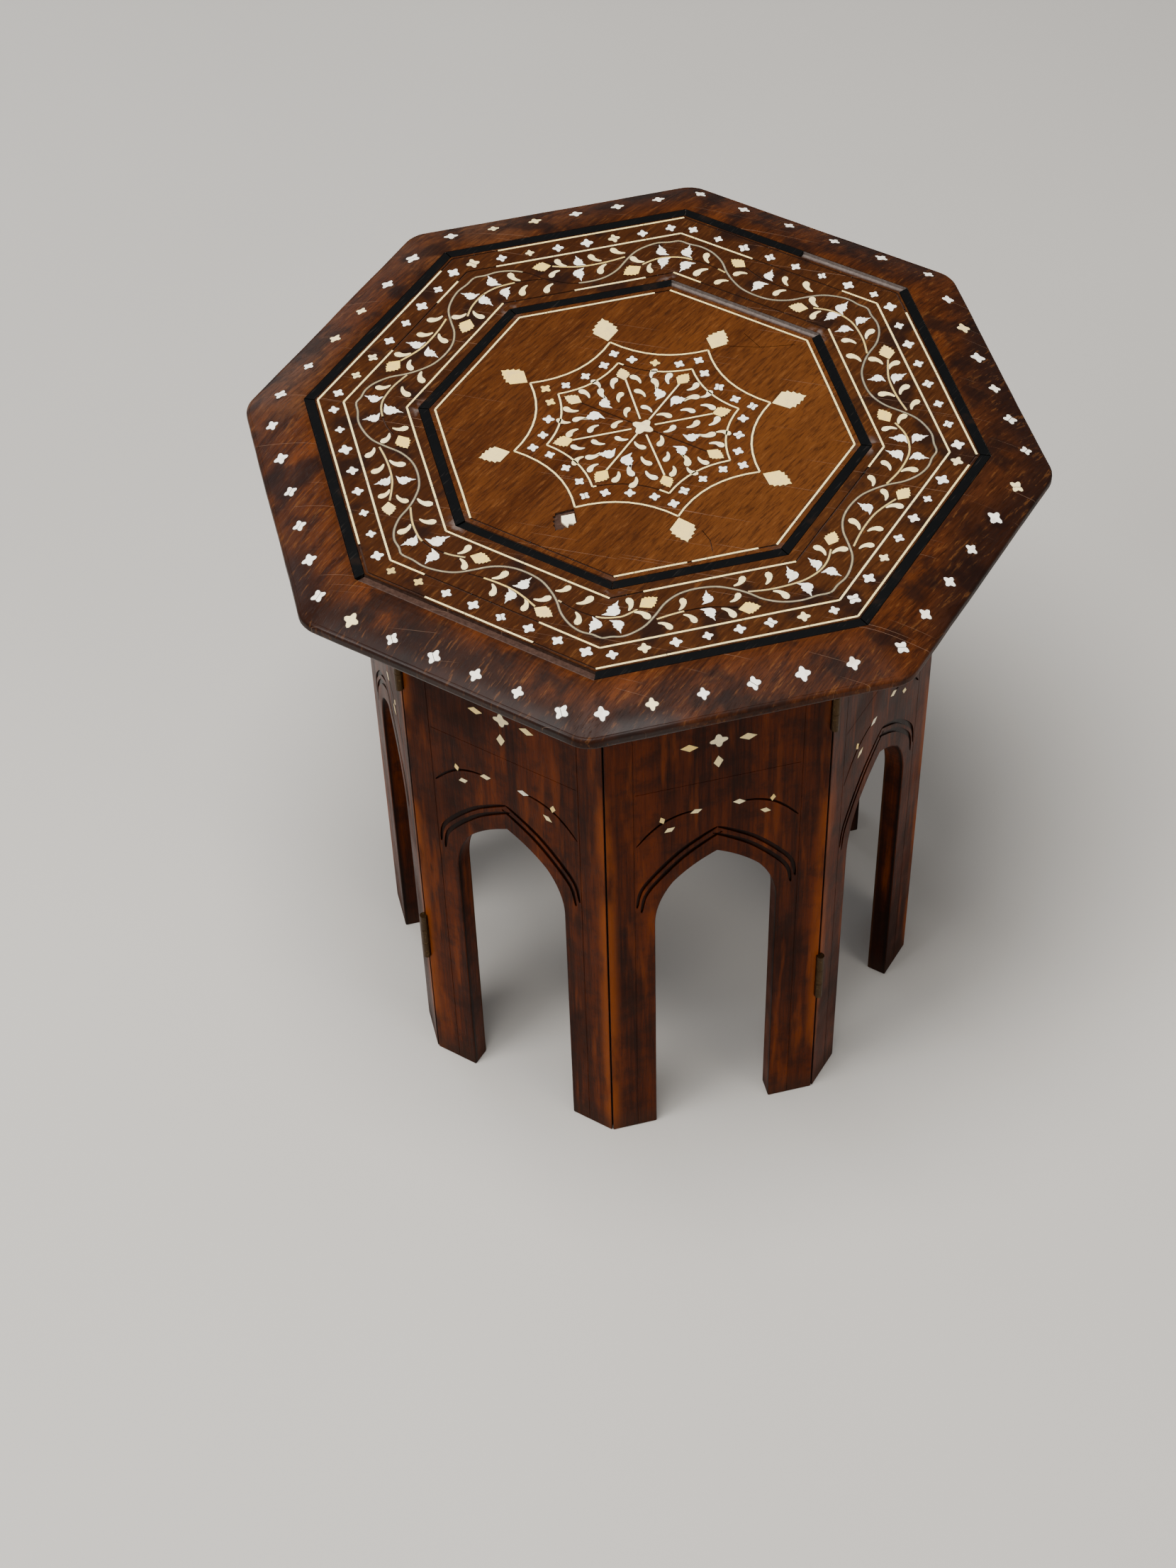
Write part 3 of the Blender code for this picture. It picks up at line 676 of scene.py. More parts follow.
# %% Vine stems and leaves
SHIFTS = (0.0, 0.5, 1.0, -3.0, -3.0, -3.0, 4.5, -0.5)   # each side's drawing slid along it
STEM_SPOTS = [(-53, 142.6), (-46, 143.7), (-38, 142.3), (-30, 138), (-23.5, 131.7), (-17, 127),
              (-9, 123.2), (1, 122), (10, 123.3), (18, 127.5), (24.5, 133.8), (31, 139.5),
              (38, 142.6), (46, 144), (53, 142.8)]
CORNER_BRANCH = [(-23.8, 130.9), (-33.8, 132.2), (-43, 131.9), (-51, 130.4), (-58.4, 126.3)]
CORNER_BRANCH_END = [(40.3, 130.5), (32.6, 128.2)]       # on the side past the corner
LEVEL_BRANCH = [(25, 137.2), (17, 136), (8, 135.4), (-1, 135.8), (-8.4, 137.6), (-16, 140.2)]
GONE = {("stem", 2): [(-34, -4)], ("corner", 1): [(0.10, 0.42)], ("corner", 2): [(0.0, 0.28)],
        ("corner", 3): [(0.70, 1.0)], ("corner", 4): [(0.50, 0.78)], ("corner", 5): [(0.05, 0.5)],
        ("level", 1): [(0.0, 1.0)], ("level", 5): [(0.0, 0.2)], ("level", 6): [(0.35, 1.0)]}
# motif, along, out, direction it points, mirrored, size, tone
LEVEL_LEAVES = [
    ("bud", -21.7, 141.6, 170, 1, 11.0, YELLOW), ("comma", -10.3, 142.2, -52, 1, 9.0, CREAM),
    ("winged", -1.5, 140.9, 96, 1, 10.0, WHITE), ("comma", 9.3, 141.2, -45, 1, 9.0, CREAM),
    ("comma", 22.6, 143.2, -32, 1, 9.2, CREAM), ("comma", -16.0, 133.3, 26, -1, 8.8, CREAM),
    ("winged", -3.2, 129.2, -92, -1, 10.4, WHITE), ("comma", 11.0, 130.2, 48, -1, 9.2, CREAM)]
CORNER_LEAVES = [
    ("winged", -50.5, 136.8, 97, 1, 10.6, WHITE), ("comma", -38.2, 137.2, -42, 1, 9.2, CREAM),
    ("comma", -35.0, 124.4, 52, -1, 9.4, CREAM), ("comma", -21.5, 122.4, 34, -1, 9.2, CREAM)]
PAST_CORNER_LEAVES = [
    ("comma", 31.3, 133.0, -33, 1, 9.2, CREAM), ("winged", 46.3, 137.0, 88, 1, 10.6, WHITE),
    ("comma", 36.6, 123.8, 66, -1, 8.8, CREAM), ("bud", 25.6, 124.6, 198, 1, 11.2, YELLOW)]
INNER_WINGS = {True: [(-46.0, 124.5, -85, 10.6), (-57.6, 120.8, -62, 10.6)],
               False: [(-53.4, 122.0, -75, 12.0)]}
SINGLE_WING_CORNERS = (3, 4, 5)
LOST_LEAVES = ((7, "winged", -1.5), (5, "comma", 22.6), (1, "comma", -10.3))
print("on each side", len(LEVEL_LEAVES), "leaves on one branch and", len(CORNER_LEAVES), "on the other")

# %% [markdown]
# ## Laying the vine
# Each side's drawing is slid a little along its edge, though never at the corners,
# where the stem has to meet its neighbour. The stem's curve overlaps both neighbours by one
# spot, so that it arrives at each corner in the right direction.

# %% Lay the vine
def slid(side, along):
    """A spot's place along its side, slid with the side's drawing but not at the corners."""
    return along + SHIFTS[side] * max(0.0, min(1.0, (60 - abs(along)) / 25))


def lay_leaf(side, leaf):
    kind, along, out, points, mirrored, size, tone = leaf
    turn = side_angle(side) - math.pi / 2 + math.radians(points)
    lay(kind, "leaves", spot(side, slid(side, along), out), turn, size, tone, mirrored)


def shares(route, spans):
    """Spans given along a side, as shares of a route that keeps to that side."""
    low, high = route[0][0], route[-1][0]
    return [((a - low) / (high - low), (b - low) / (high - low)) for a, b in spans]


def lay_vine(side):
    corner = 142.3 * SLOPE
    marks = [(-corner, 142.3), *STEM_SPOTS, (corner, 142.3)]
    marks = [(slid(side, along), out) for along, out in marks]
    before, after = (side - 1) % SIDES, (side + 1) % SIDES
    overlap = [spot(after, slid(after, 53), 142.8), *(spot(side, *mark) for mark in marks),
               spot(before, slid(before, -53), 142.6)]
    stem = smooth(overlap, 4)[4:-4]
    lay_strip("stems", stem, STEM_WIDTH, GREY + 0.50, shares(marks, GONE.get(("stem", side), [])))
    branch = [spot(side, slid(side, a), out) for a, out in CORNER_BRANCH]
    branch += [spot(after, slid(after, a), out) for a, out in CORNER_BRANCH_END]
    lay_strip("stems", smooth(branch, 4), STEM_WIDTH, GREY + 0.15, GONE.get(("corner", side), []))
    level = [spot(side, slid(side, a), out) for a, out in LEVEL_BRANCH]
    lay_strip("stems", smooth(level, 4), STEM_WIDTH, GREY + 0.10, GONE.get(("level", side), []))


for number in range(SIDES):
    lay_vine(number)
    for leaf in LEVEL_LEAVES + CORNER_LEAVES:
        if (number, leaf[0], leaf[1]) not in LOST_LEAVES:
            lay_leaf(number, leaf)
    for leaf in PAST_CORNER_LEAVES:
        lay_leaf((number + 1) % SIDES, leaf)
    for along, out, points, size in INNER_WINGS[number not in SINGLE_WING_CORNERS]:
        lay_leaf(number, ("winged", along, out, points, -1, size, WHITE))
print("vine", len(plates["stems"]), "stems", len(plates["leaves"]), "leaves")

# %% [markdown]
# ## The star in the middle
# Eight straight stems leave a flower at the board's centre and end in yellow buds. Two
# scalloped lines, each of eight arcs that bow inwards, enclose them, with a row of small
# flowers between. Larger buds stand on the outer line's eight points.

# %% Star
INNER_TIP, INNER_DIP, OUTER_TIP, OUTER_DIP = 52.3, 44.0, 69.8, 57.6
STAR_FLOWERS = [(0.0, 60.0), (8.5, 53.2), (22.5, 50.6), (36.5, 53.2)]
EMPTY_STEMS = (3, 7)
INNER_GONE = {1: [(0.08, 0.45)], 5: [(0.14, 0.95)]}
BUD_OUT, BUD_SIZE, BROKEN_BUD = 80.2, 18.0, 5


def polar(radius, turn, across=0.0):
    return Vector((radius * math.cos(turn) - across * math.sin(turn),
                   radius * math.sin(turn) + across * math.cos(turn)))


def scallop(tip, dip, sector):
    """An arc between two points of the star; it bows in to the dip's radius half way."""
    start, end = sector * math.pi / 4, (sector + 1) * math.pi / 4
    first, last = polar(tip, start), polar(tip, end)
    sag = tip * math.cos(HALF_TURN) - dip
    inward = polar(-1.0, (start + end) / 2)
    steps = 8
    return [first.lerp(last, n / steps) + inward * sag * 4 * (n / steps) * (1 - n / steps)
            for n in range(steps + 1)]


lay("flower", "leaves", (0, 0), math.pi / 4, 13.0, CREAM - 0.15)
for sector in range(SIDES):
    turn = sector * math.pi / 4
    lean = 0.012 if sector == 2 else -0.03 if sector == 6 else 0.0
    stem = [polar(6.3, turn), polar(38.5, turn - lean)]
    lay_strip("stems", stem, STEM_WIDTH, CREAM, [(0.0, 1.0)] if sector in EMPTY_STEMS else [])
    lay("bud", "leaves", polar(43.2, turn - lean), turn, 10.6, YELLOW)
    inner_gone = INNER_GONE.get(sector, [])
    lay_strip("lines", scallop(INNER_TIP, INNER_DIP, sector), LINE_WIDTH - 0.1, CREAM + 0.15,
              [(1 - b, 1 - a) for a, b in inner_gone])
    lay_strip("lines", scallop(OUTER_TIP, OUTER_DIP, sector), LINE_WIDTH - 0.05, CREAM + 0.15)
    for offset, radius in STAR_FLOWERS:
        off_axis = turn + math.radians(offset)
        lay_flower(polar(radius, off_axis), off_axis, 6.0, CREAM + 0.5 if hand.random() < 0.16 else WHITE)
    if sector != BROKEN_BUD:
        lay("bud", "leaves", polar(BUD_OUT, turn), turn, BUD_SIZE, YELLOW - 0.1)
    for way in (-1, 1):
        leaves = [(12.8, 5.2, 1, 8.2), (25.5, 5.2, 1, 8.6), (36.6, 5.4, 1, 8.4)]
        if sector % 2:
            leaves = [(40.0, 6.6, 1, 8.6), (31.5, 12.0, -1, 9.0), (39.0, 16.2, 1, 8.6)]
            facing = turn + way * math.radians(52)
            lay("winged", "leaves", polar(27.4, turn, way * 6.3), facing, 11.0, WHITE, -way)
        for out, across, curl, size in leaves:
            facing = turn + math.pi + way * math.radians(-20 if sector % 2 == 0 else 25)
            lay("comma", "leaves", polar(out, turn, way * across), facing, size, CREAM - 0.1, curl * way)
print("inlay so far", {name: len(items) for name, items in plates.items()})

# %% [markdown]
# ## From outlines to pieces
# A flat inlay is one face, pushed down into the wood and given a tiny bevel, like a tile
# with its edge eased. All the outlines of a tray go into one mesh and are extruded and
# bevelled together, which is quick even for hundreds of them. The tone of each piece is
# stored on its points.

# %% Modelling helpers
def new_piece(name, bm, material, place=None):
    """Turn a bmesh into a piece of the object, with its place in its mesh."""
    mesh = bpy.data.meshes.new(name)
    bm.to_mesh(mesh)
    bm.free()
    if place is not None:
        mesh.transform(place)
    mesh.materials.append(material)
    piece = bpy.data.objects.new(name, mesh)
    bpy.context.scene.collection.objects.link(piece)
    return piece


def push(bm, faces, way):
    """Extrude faces and move what was extruded."""
    made = bmesh.ops.extrude_face_region(bm, geom=faces)["geom"]
    moved = [item for item in made if isinstance(item, bmesh.types.BMVert)]
    bmesh.ops.translate(bm, vec=way, verts=moved)


def slabs(outlines, top, bottom, bevel=0.0):
    """One slab for each (outline, tone), in millimetres, between two heights."""
    bm = bmesh.new()
    tone_layer = bm.verts.layers.float.new("tone")
    faces = []
    for outline, tone in outlines:
        corners = [bm.verts.new((point.x, point.y, top)) for point in outline]
        for corner in corners:
            corner[tone_layer] = tone
        faces.append(bm.faces.new(corners))
    push(bm, faces, (0, 0, bottom - top))
    bmesh.ops.recalc_face_normals(bm, faces=bm.faces)
    if bevel:
        rim = [edge for edge in bm.edges if all(abs(v.co.z - top) < 1e-5 for v in edge.verts)]
        bmesh.ops.bevel(bm, geom=rim, offset=bevel, offset_type="OFFSET", segments=1,
                        profile=0.5, affect="EDGES", material=-1)
    return bm


BROAD = 2e-5                             # square metres; a face this large is truly flat


def carve(bm, name, cutters, material, smooth_below):
    """Cut a solid with others, and give the carved piece in metres."""
    blank = new_piece(name, bm, material)
    tools = []
    for number, cutter in enumerate(cutters):
        tool = new_piece("%s_cutter_%d" % (name, number), cutter, material)
        cut = blank.modifiers.new("cut_%d" % number, "BOOLEAN")
        cut.object = tool
        cut.operation = "DIFFERENCE"
        cut.use_self = True
        tools.append(tool)
    bpy.context.view_layer.update()
    carved = bpy.data.meshes.new_from_object(blank.evaluated_get(bpy.context.evaluated_depsgraph_get()))
    for used in (blank, *tools):
        bpy.data.objects.remove(used)
    carved.transform(Matrix.Scale(MM, 4))
    carved.name = name
    carved.shade_smooth()
    carved.set_sharp_from_angle(angle=math.radians(smooth_below))
    for face in carved.polygons:
        if face.area > BROAD:
            face.use_smooth = False
    return carved


def shown(name, mesh, body, slot, *replaced):
    """Link a finished mesh and ride it on its body; the slot it is given is not used."""
    piece = bpy.data.objects.new(name, mesh)
    bpy.context.scene.collection.objects.link(piece)
    return dress(piece, body, slot, *replaced)


def dress(piece, body, slot, *replaced):
    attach(piece, body)
    if replaced:
        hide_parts(*replaced)
    return piece


# %% [markdown]
# ## The board
# The board is an octagon drawn up through its own edge: the outline is extruded in small
# steps and scaled at each, round the underside, up to a narrow arris and in over a rim that
# rises slowly to the flat top.

# %% Board blank
EBONY_RINGS = (168.4, 111.2)
EBONY_WIDTH, EBONY_DEPTH, FIT = 5.0, 2.2, 0.3
RIM_START, RIM_DROP, RIM_CURVE = 171.0, 9.5, 1.35
ARRIS, LOWER_ROLL, ROLL_STEPS, SLOPE_STEPS = 2.4, 3.0, 9, 9
SIDE_CUTS, CORNER_ROUND, BOARD_CREASE = 14, 6.0, 13
GROOVE_DEPTH, POCKET_DEPTH = 0.9, 1.6
top_mm, under_mm, reach = TOP / MM, UNDERSIDE / MM, BOARD_APOTHEM / MM


def rim_drop(out):
    """How far the board's surface has fallen at a distance out from its middle."""
    return RIM_DROP * min(1.0, max(0.0, (out - RIM_START) / (reach - RIM_START))) ** RIM_CURVE


def rim_profile():
    """Inset and height of the board's edge, from the underside round to the flat top."""
    angles = [math.pi / 2 * n / ROLL_STEPS for n in range(ROLL_STEPS + 1)]
    shoulder = top_mm - rim_drop(reach - ARRIS)
    lower = [(LOWER_ROLL * (1 - math.sin(a)), under_mm + LOWER_ROLL * (1 - math.cos(a))) for a in angles]
    upper = [(ARRIS * (1 - math.cos(a)), shoulder - ARRIS * (1 - math.sin(a))) for a in angles]
    inwards = RIM_START - (reach - ARRIS)
    rings = [reach - ARRIS + inwards * n / SLOPE_STEPS for n in range(1, SLOPE_STEPS + 1)]
    return lower + upper + [(reach - out, top_mm - rim_drop(out)) for out in rings]


def follow_rim(bm):
    """Let flat inlay down on to the sloping rim."""
    for vert in bm.verts:
        x, y = abs(vert.co.x), abs(vert.co.y)
        vert.co.z -= rim_drop(max(x, y, (x + y) * math.sqrt(0.5)))
    return bm


def octagon_face(bm, apothem, height):
    ring = bmesh.ops.create_circle(bm, cap_ends=True, segments=SIDES, radius=apothem / math.cos(HALF_TURN))
    bmesh.ops.rotate(bm, verts=ring["verts"], matrix=Matrix.Rotation(HALF_TURN, 3, "Z"))
    bmesh.ops.translate(bm, verts=ring["verts"], vec=(0, 0, height))


def board_blank():
    bm = bmesh.new()
    profile = rim_profile()
    octagon_face(bm, reach - profile[0][0], profile[0][1])
    bmesh.ops.subdivide_edges(bm, edges=bm.edges[:], cuts=SIDE_CUTS)
    corners = sorted(bm.verts, key=lambda vert: vert.co.xy.length)[-SIDES:]
    bmesh.ops.bevel(bm, geom=corners, offset=CORNER_ROUND, offset_type="OFFSET", segments=4,
                    profile=0.5, affect="VERTICES", material=-1)
    underside = face = max(bm.faces, key=lambda item: item.calc_area())
    for (inset, height), (wider, higher) in zip(profile, profile[1:]):
        covered = face
        made = bmesh.ops.extrude_face_region(bm, geom=[face])["geom"]
        face = next(item for item in made if isinstance(item, bmesh.types.BMFace))
        if covered is not underside:
            bmesh.ops.delete(bm, geom=[covered], context="FACES_ONLY")
        size = (reach - wider) / (reach - inset)
        bmesh.ops.scale(bm, vec=(size, size, 1), verts=face.verts)
        bmesh.ops.translate(bm, vec=(0, 0, higher - height), verts=face.verts)
    bmesh.ops.recalc_face_normals(bm, faces=bm.faces)
    return bm


print("rim falls", RIM_DROP, "mm in", round(reach - RIM_START, 1), "mm")

# %% [markdown]
# ## Wear and cuts
# A slow noise eats a little off the edge, as years of hands have.
# The channels, the empty saw cuts, two splits and the pocket of the broken bud become
# cutters, and Blender's Boolean modifier takes each of them out of the blank.

# %% Worn and cut board
def wear_edge(bm):
    """Eat about a third of a millimetre off the board's edge, unevenly."""
    for vert in bm.verts:
        if under_mm + 0.1 < vert.co.z < top_mm - rim_drop(reach - ARRIS) - 0.1:
            slow = noise.noise(vert.co * 0.021) + 0.6 * noise.noise(vert.co * 0.07)
            eaten = 0.30 + 0.30 * slow
            vert.co.xy *= 1 - max(0.0, eaten) / reach


def channel(outer):
    """A ring-shaped cutter, open above the board."""
    bm = bmesh.new()
    for apothem in (outer + FIT, outer - EBONY_WIDTH - FIT):
        octagon_face(bm, apothem, top_mm - EBONY_DEPTH - FIT)
    bmesh.ops.delete(bm, geom=bm.faces[:], context="FACES_ONLY")
    bed = bmesh.ops.bridge_loops(bm, edges=bm.edges[:])["faces"]
    push(bm, bed, (0, 0, 3 * EBONY_DEPTH))
    bmesh.ops.recalc_face_normals(bm, faces=bm.faces)
    return bm


SPLITS = [([(60, 50), (77, 44), (96, 41)], 0.45), ([(77, 44), (72, 57)], 0.35),
          ([(9, -83), (11, -91), (10, -99)], 0.45)]
broken_turn = BROKEN_BUD * math.pi / 4
broken_place = polar(BUD_OUT, broken_turn)
pocket = placed(TOOTHED, broken_place, broken_turn, BUD_SIZE + 0.5)
empty_cuts = [(outline, 0.0) for outline in lost]
empty_cuts += [(strip_outline([Vector(p) for p in route], width), 0.0) for route, width in SPLITS]
blank = board_blank()
wear_edge(blank)
cutters = [channel(outer) for outer in EBONY_RINGS]
cutters.append(slabs(empty_cuts, top_mm + 1, top_mm - GROOVE_DEPTH))
cutters.append(slabs([(pocket, 0.0)], top_mm + 1, top_mm - POCKET_DEPTH))
board_mesh = carve(blank, "carved_board", cutters, board_wood, BOARD_CREASE)
shown("carved_board", board_mesh, "top", "board_wood", "top_board")
print("board", len(board_mesh.polygons), "faces after", len(empty_cuts), "empty cuts")

# %% [markdown]
# ## Setting the inlay
# The bone stands a tenth of a millimetre proud, because the wood has shrunk round it. A
# dark seam of mastic shows round every piece. Cracks are hairlines of the same mastic. All
# of it is modelled flat, then let down wherever it lies on the sloping rim.

# %% Set the inlay
PROUD, SEAM = 0.10, 0.36
PLATE_DEPTH, SEAM_DEPTH, EASING = 0.6, 0.5, 0.10
SEAM_PROUD, CRACK_OVER_BONE = 0.02, 0.03


def set_flat(name, outlines, top, bottom, material, slot, bevel=0.0):
    """Set outlines in the board, between two heights measured from its flat top."""
    bm = follow_rim(slabs(outlines, top_mm + top, top_mm + bottom, bevel))
    dress(new_piece(name, bm, material, Matrix.Scale(MM, 4)), "top", slot)


def set_inlay():
    for tray, items in plates.items():
        set_flat("bone_" + tray, items, PROUD, -PLATE_DEPTH, bone, "bone", EASING)
    everything = [item for items in plates.values() for item in items]
    seams = [(grown(outline, SEAM), 0.0) for outline, tone in everything]
    set_flat("mastic_seams", seams, SEAM_PROUD, -SEAM_DEPTH, mastic, "board_wood")
    hairs = [(outline, 0.0) for outline in cracks]
    set_flat("hairline_cracks", hairs, PROUD + CRACK_OVER_BONE, -SEAM_DEPTH, mastic, "board_wood")
    return len(everything)


def broken_bud():
    """What is left of one bud, tilted in its pocket."""
    shard = [(-0.42, 0.02), (-0.05, 0.33), (0.05, 0.10), (0.22, 0.16), (0.12, -0.16), (-0.10, -0.30)]
    bm = slabs([(placed(shard, (0, 0), broken_turn, 15.0), 0.25)], 0.6, -0.6, 0.15)
    tilt = Matrix.Translation((broken_place.x + 1.2, broken_place.y - 1.0, top_mm - 0.9))
    tilt = tilt @ Matrix.Rotation(math.radians(5), 4, "X")
    piece = new_piece("bone_broken_bud", bm, bone, Matrix.Scale(MM, 4) @ tilt)
    return dress(piece, "top", "bone")


print("set", set_inlay(), "pieces of bone and", broken_bud().name)

# %% [markdown]
# ## The arched panels
# Each panel is a board with a pointed arch cut from its foot and its two edges mitred.
# The arch is drawn once as half an outline, and the edges are eased with a bevel.

# %% Panel blank
OUTER_FACE = -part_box("panel_front")[0].y / MM
INNER_FACE = -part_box("panel_front")[1].y / MM
PANEL_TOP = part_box("panel_front")[1].z / MM
MITRE_GAP, EASED = 0.3, 0.8
LEG_WIDTH, ARCH_POINT, SPRINGING = 27.5, PANEL_TOP - 159.0, PANEL_TOP - 159.0 - 53.0
SHOULDER_IN, SHOULDER_UP, HAUNCH_BULGE = 10.5, 34.0, 1.5
GOUGE_DEPTH, SCRIBE_DEPTH, PANEL_CREASE = 0.9, 0.25, 30
BARREL, BARREL_PROUD, HINGE_HALF, LEAF_THICK, LEAF_STOP = 2.2, 0.9, 19.0, 1.2, 3.0
HINGE_HEIGHTS = (112.0, PANEL_TOP - 59.0)
LEAF_WIDTH = (OUTER_FACE - INNER_FACE + BARREL_PROUD) / math.cos(HALF_TURN) - LEAF_STOP
PLACES = ("front_left", "front", "front_right", "right", "back_right", "back", "back_left", "left")


def arch_half(steps=12):
    """The opening's right half, from the floor up to its point."""
    half = OUTER_FACE * SLOPE - LEG_WIDTH
    radius = (SHOULDER_IN ** 2 + SHOULDER_UP ** 2) / (2 * SHOULDER_IN)
    sweep = math.asin(SHOULDER_UP / radius)
    haunch = [(half - radius * (1 - math.cos(sweep * n / steps)),
               SPRINGING + radius * math.sin(sweep * n / steps)) for n in range(steps + 1)]
    start, end = Vector(haunch[-1]), Vector((0.0, ARCH_POINT))
    side = Vector((end.y - start.y, start.x - end.x)).normalized()
    crown = [start.lerp(end, n / steps) + side * 4 * HAUNCH_BULGE * (n / steps) * (1 - n / steps)
             for n in range(1, steps + 1)]
    return [(half, 0.0), *haunch, *((p.x, p.y) for p in crown)]


def panel_blank():
    edge = OUTER_FACE * SLOPE
    right = arch_half()
    outline = [(edge, 0.0), *right, *((-x, z) for x, z in right[-2::-1]),
               (-edge, 0.0), (-edge, PANEL_TOP), (edge, PANEL_TOP)]
    bm = bmesh.new()
    face = bm.faces.new([bm.verts.new((x, -OUTER_FACE, z)) for x, z in outline])
    push(bm, [face], (0, OUTER_FACE - INNER_FACE, 0))
    for side in (-1, 1):
        away = Vector((side * math.cos(HALF_TURN), math.sin(HALF_TURN), 0))
        bmesh.ops.bisect_plane(bm, geom=[*bm.verts, *bm.edges, *bm.faces], dist=0.0001,
                               plane_co=away * -MITRE_GAP, plane_no=away, clear_outer=True)
        bmesh.ops.holes_fill(bm, edges=[e for e in bm.edges if e.is_boundary], sides=0)
    bmesh.ops.recalc_face_normals(bm, faces=bm.faces)
    crisp = [e for e in bm.edges if e.is_manifold and e.calc_face_angle() > math.radians(30)]
    bmesh.ops.bevel(bm, geom=crisp, offset=EASED, offset_type="OFFSET", segments=3,
                    profile=0.5, affect="EDGES", clamp_overlap=True, material=-1)
    return bm


print("arch", len(arch_half()), "points for each half, leaf", round(LEAF_WIDTH, 1), "mm wide")

# %% [markdown]
# ## The carver's cuts
# Over the arch goes a double groove, and on either side of it a curling sprig. Fine scribed
# lines are left from the setting out.

# %% Carver's cuts
def tapered(route, widest, ends=0.25):
    """Widths that swell to the middle of a route, as a gouge cuts."""
    count = len(route) - 1
    return [widest * (ends + (1 - ends) * math.sin(math.pi * n / count) ** 0.5) for n in range(count + 1)]


def carver_cuts():
    """Outlines on the panel's face, in its own millimetres, with the depth of each cut."""
    over_arch = [(45, 209), (42.6, 223), (34.5, 235.5), (21.5, 250), (9, 259.5), (0, 265)]
    sprig = [(9, 282.5), (20, 281.5), (30, 277.5), (38, 270.5), (45, 261.5)]
    edge = 46.3
    deep, shallow = [], []
    for side in (-1, 1):
        for drop in (0.0, 4.6):
            route = smooth([Vector((side * (x - drop * 0.55), z - drop)) for x, z in over_arch], 5)
            deep.append(strip_outline(route, tapered(route, 2.9)))
        route = smooth([Vector((side * x, z)) for x, z in sprig], 4)
        deep.append(strip_outline(route, tapered(route, 1.7)))
        shallow.append(strip_outline([Vector((side * edge, 1)), Vector((side * edge, PANEL_TOP - 1))], 0.4))
    shallow.append(strip_outline([Vector((-edge + 1, 304)), Vector((edge - 1, 304))], 0.35))
    return deep, shallow


FACE = Matrix.Translation((0, -OUTER_FACE, 0)) @ Matrix.Rotation(math.pi / 2, 4, "X")


def face_slabs(outlines, top, bottom, bevel=0.0):
    """Slabs on the front panel's outer face; heights are measured out from it."""
    bm = slabs(outlines, top, bottom, bevel)
    bmesh.ops.transform(bm, matrix=FACE, verts=bm.verts)
    return bm


print("cuts on each panel:", *(len(cuts) for cuts in carver_cuts()))

# %% [markdown]
# ## Hinge pockets and the eight panels
# Two kinds of panel are needed, because the hinges' barrels stand outside at one edge of a
# panel and inside at the other. Each kind is carved once, and copied round the ring.

# %% Hinge pockets and panels
def hinge_pocket(side, outward, height):
    """The room for a leaf and for the barrel at one corner."""
    angle = -math.pi / 2 + side * HALF_TURN
    radius = (OUTER_FACE + BARREL_PROUD if outward else INNER_FACE - BARREL_PROUD) / math.cos(HALF_TURN)
    place = Matrix.Translation((radius * math.cos(angle), radius * math.sin(angle), height))
    place = place @ Matrix.Rotation(angle + (math.pi if outward else 0), 4, "Z")
    deep, long = MITRE_GAP + LEAF_THICK + FIT, 2 * (HINGE_HALF + FIT)
    leaf = bmesh.new()
    bmesh.ops.create_cube(leaf, size=1.0)
    bmesh.ops.scale(leaf, vec=(LEAF_WIDTH + FIT, 2 * deep, long), verts=leaf.verts)
    bmesh.ops.translate(leaf, vec=((LEAF_WIDTH + FIT) / 2, 0, 0), verts=leaf.verts)
    room = bmesh.new()
    bmesh.ops.create_cone(room, cap_ends=True, segments=24, radius1=BARREL + FIT,
                          radius2=BARREL + FIT, depth=long)
    for bm in (leaf, room):
        bmesh.ops.transform(bm, matrix=place, verts=bm.verts)
    return [leaf, room]


def carved_panel(name, right_outward):
    deep, shallow = carver_cuts()
    cutters = [face_slabs([(outline, 0.0)], 1.0, -GOUGE_DEPTH) for outline in deep]
    cutters += [face_slabs([(outline, 0.0)], 1.0, -SCRIBE_DEPTH) for outline in shallow]
    for side in (-1, 1):
        for height in HINGE_HEIGHTS:
            cutters += hinge_pocket(side, right_outward == (side > 0), height)
    return carve(panel_blank(), name, cutters, base_wood, PANEL_CREASE)


panel_kinds = (carved_panel("panel_even", False), carved_panel("panel_odd", True))
for index, place in enumerate(PLACES):
    mesh = panel_kinds[index % 2].copy()
    mesh.transform(Matrix.Rotation(side_angle(index - 1), 4, "Z"))
    shown("carved_panel_" + place, mesh, "base_" + place, "base_wood", "panel_" + place)
print("panels", [len(mesh.polygons) for mesh in panel_kinds], "faces")

# %% [markdown]
# ## Bone on the panels
# Under the board's edge each panel has a flower with three lozenges about it, and each
# sprig carries three small leaves.

# %% Panel inlay
def panel_motifs():
    """Kind, place on the face, direction, size and tone."""
    motifs = [("flower", 0, 334, 0, 10.2, CREAM - 0.1), ("lozenge", 0, 318.5, 90, 9.0, CREAM)]
    for side in (-1, 1):
        motifs += [("lozenge", side * 15.6, 333.5, 0, 9.6, YELLOW - 0.1),
                   ("lozenge", side * 11.5, 282.0, side * -8, 7.2, CREAM - 0.2),
                   ("lozenge", side * 30.5, 280.0, side * 80, 5.8, CREAM + 0.3),
                   ("lozenge", side * 26.5, 270.5, side * -28, 6.8, CREAM)]
    return motifs


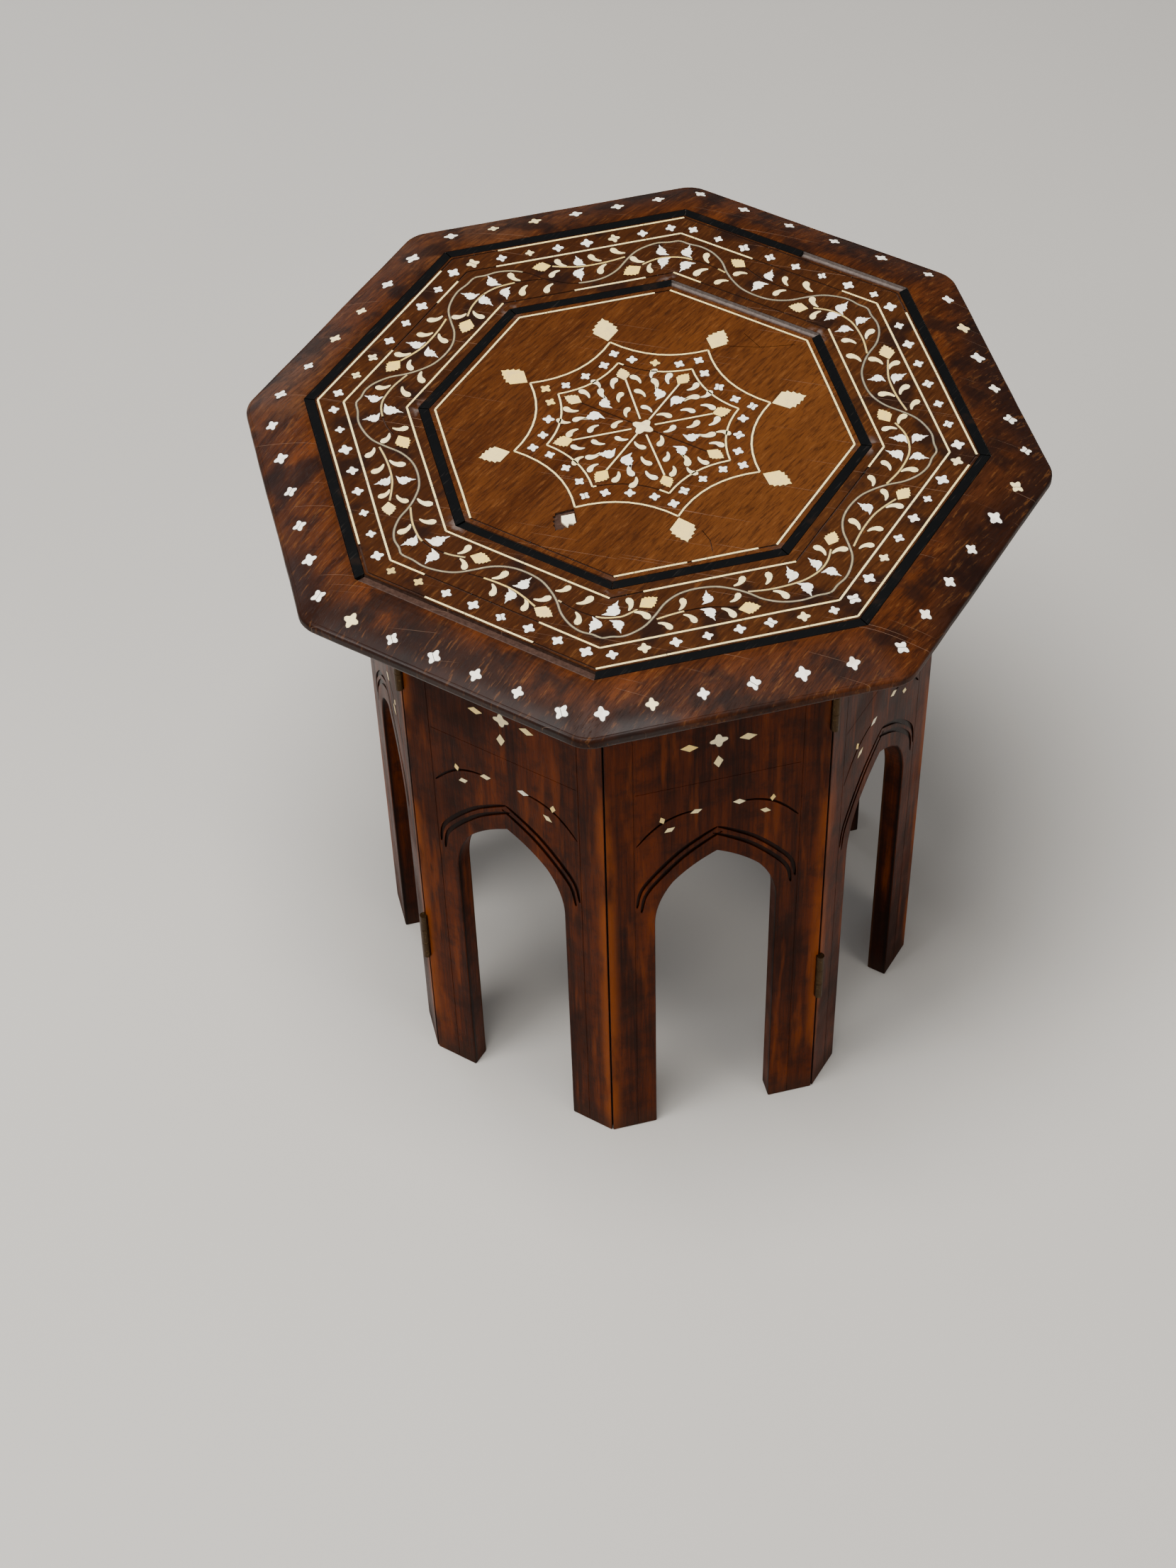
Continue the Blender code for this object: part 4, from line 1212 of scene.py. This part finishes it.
def set_panel_inlay(index, place):
    items = []
    for kind, x, z, points, size, tone in panel_motifs():
        centre = Vector((x + hand.uniform(-0.5, 0.5), z + hand.uniform(-0.5, 0.5)))
        turn = math.radians(points + hand.uniform(-8, 8))
        items.append((placed(MOTIFS[kind], centre, turn, size * hand.uniform(0.92, 1.06)),
                      tone + hand.uniform(-0.1, 0.3)))
    round_table = Matrix.Rotation(side_angle(index - 1), 4, "Z") @ Matrix.Scale(MM, 4)
    dress(new_piece("panel_bone_" + place, face_slabs(items, PROUD, -PLATE_DEPTH, EASING), bone, round_table),
          "base_" + place, "bone")
    seams = [(grown(outline, SEAM), 0.0) for outline, tone in items]
    dress(new_piece("panel_mastic_" + place, face_slabs(seams, SEAM_PROUD, -SEAM_DEPTH), mastic, round_table),
          "base_" + place, "base_wood")


for index, place in enumerate(PLACES):
    set_panel_inlay(index, place)
print("panel inlay on", len(PLACES), "panels")

# %% [markdown]
# ## Finishes for the joinery that stays
# The ebony strips, the hinges and the blocks already have their true shapes, so they only
# need their materials.

# %% Finish the frame's own pieces
KEPT = {"ebony": ebony, "hinge": brass, "locating": deal}
for name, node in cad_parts.items():
    material = KEPT.get(name.split("_")[0])
    if material is not None:
        node.data.materials.clear()
        node.data.materials.append(material)
print("finished", sum(name.split("_")[0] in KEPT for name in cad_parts), "nodes of the frame")

# %% [markdown]
# ## Floor and light
# A plain pale floor and soft light, as in a studio: the strongest lamp overhead, a key from
# the left, a warm one in front, a cool one behind, and a little light from everywhere.

# %% Studio
def stage_floor():
    bm = bmesh.new()
    bmesh.ops.create_grid(bm, x_segments=1, y_segments=1, size=6.0)
    paint = Finish("pale_floor")
    paint.colour = paint.mix(paint.noise(3.0, 2.0), (0.49, 0.47, 0.44), (0.53, 0.51, 0.48))
    floor = new_piece("floor", bm, paint.finish(0.85))


def soft_light(name, place, size, power, colour):
    lamp = bpy.data.lights.new(name, "AREA")
    lamp.shape = "DISK"
    lamp.size = size
    lamp.energy = power
    lamp.color = colour
    holder = bpy.data.objects.new(name, lamp)
    holder.location = place
    target = Vector((0, 0, 0.3)) - Vector(place)
    holder.rotation_euler = target.to_track_quat("-Z", "Y").to_euler()
    bpy.context.scene.collection.objects.link(holder)


stage_floor()
soft_light("key", (-1.7, -0.5, 1.9), 1.2, 30.0, (1.0, 0.98, 0.95))
soft_light("overhead", (-0.4, -0.4, 2.7), 1.2, 104.0, (1.0, 0.98, 0.95))
soft_light("front", (1.35, -2.0, 1.2), 1.4, 20.0, (1.0, 0.95, 0.88))
soft_light("back", (-1.0, 2.1, 0.9), 1.2, 13.0, (0.96, 0.98, 1.0))
world = bpy.data.worlds.new("studio")
world.use_nodes = True
world.node_tree.nodes["Background"].inputs["Color"].default_value = (0.95, 0.97, 1.0, 1.0)
world.node_tree.nodes["Background"].inputs["Strength"].default_value = 0.22
bpy.context.scene.world = world
print("studio lit")
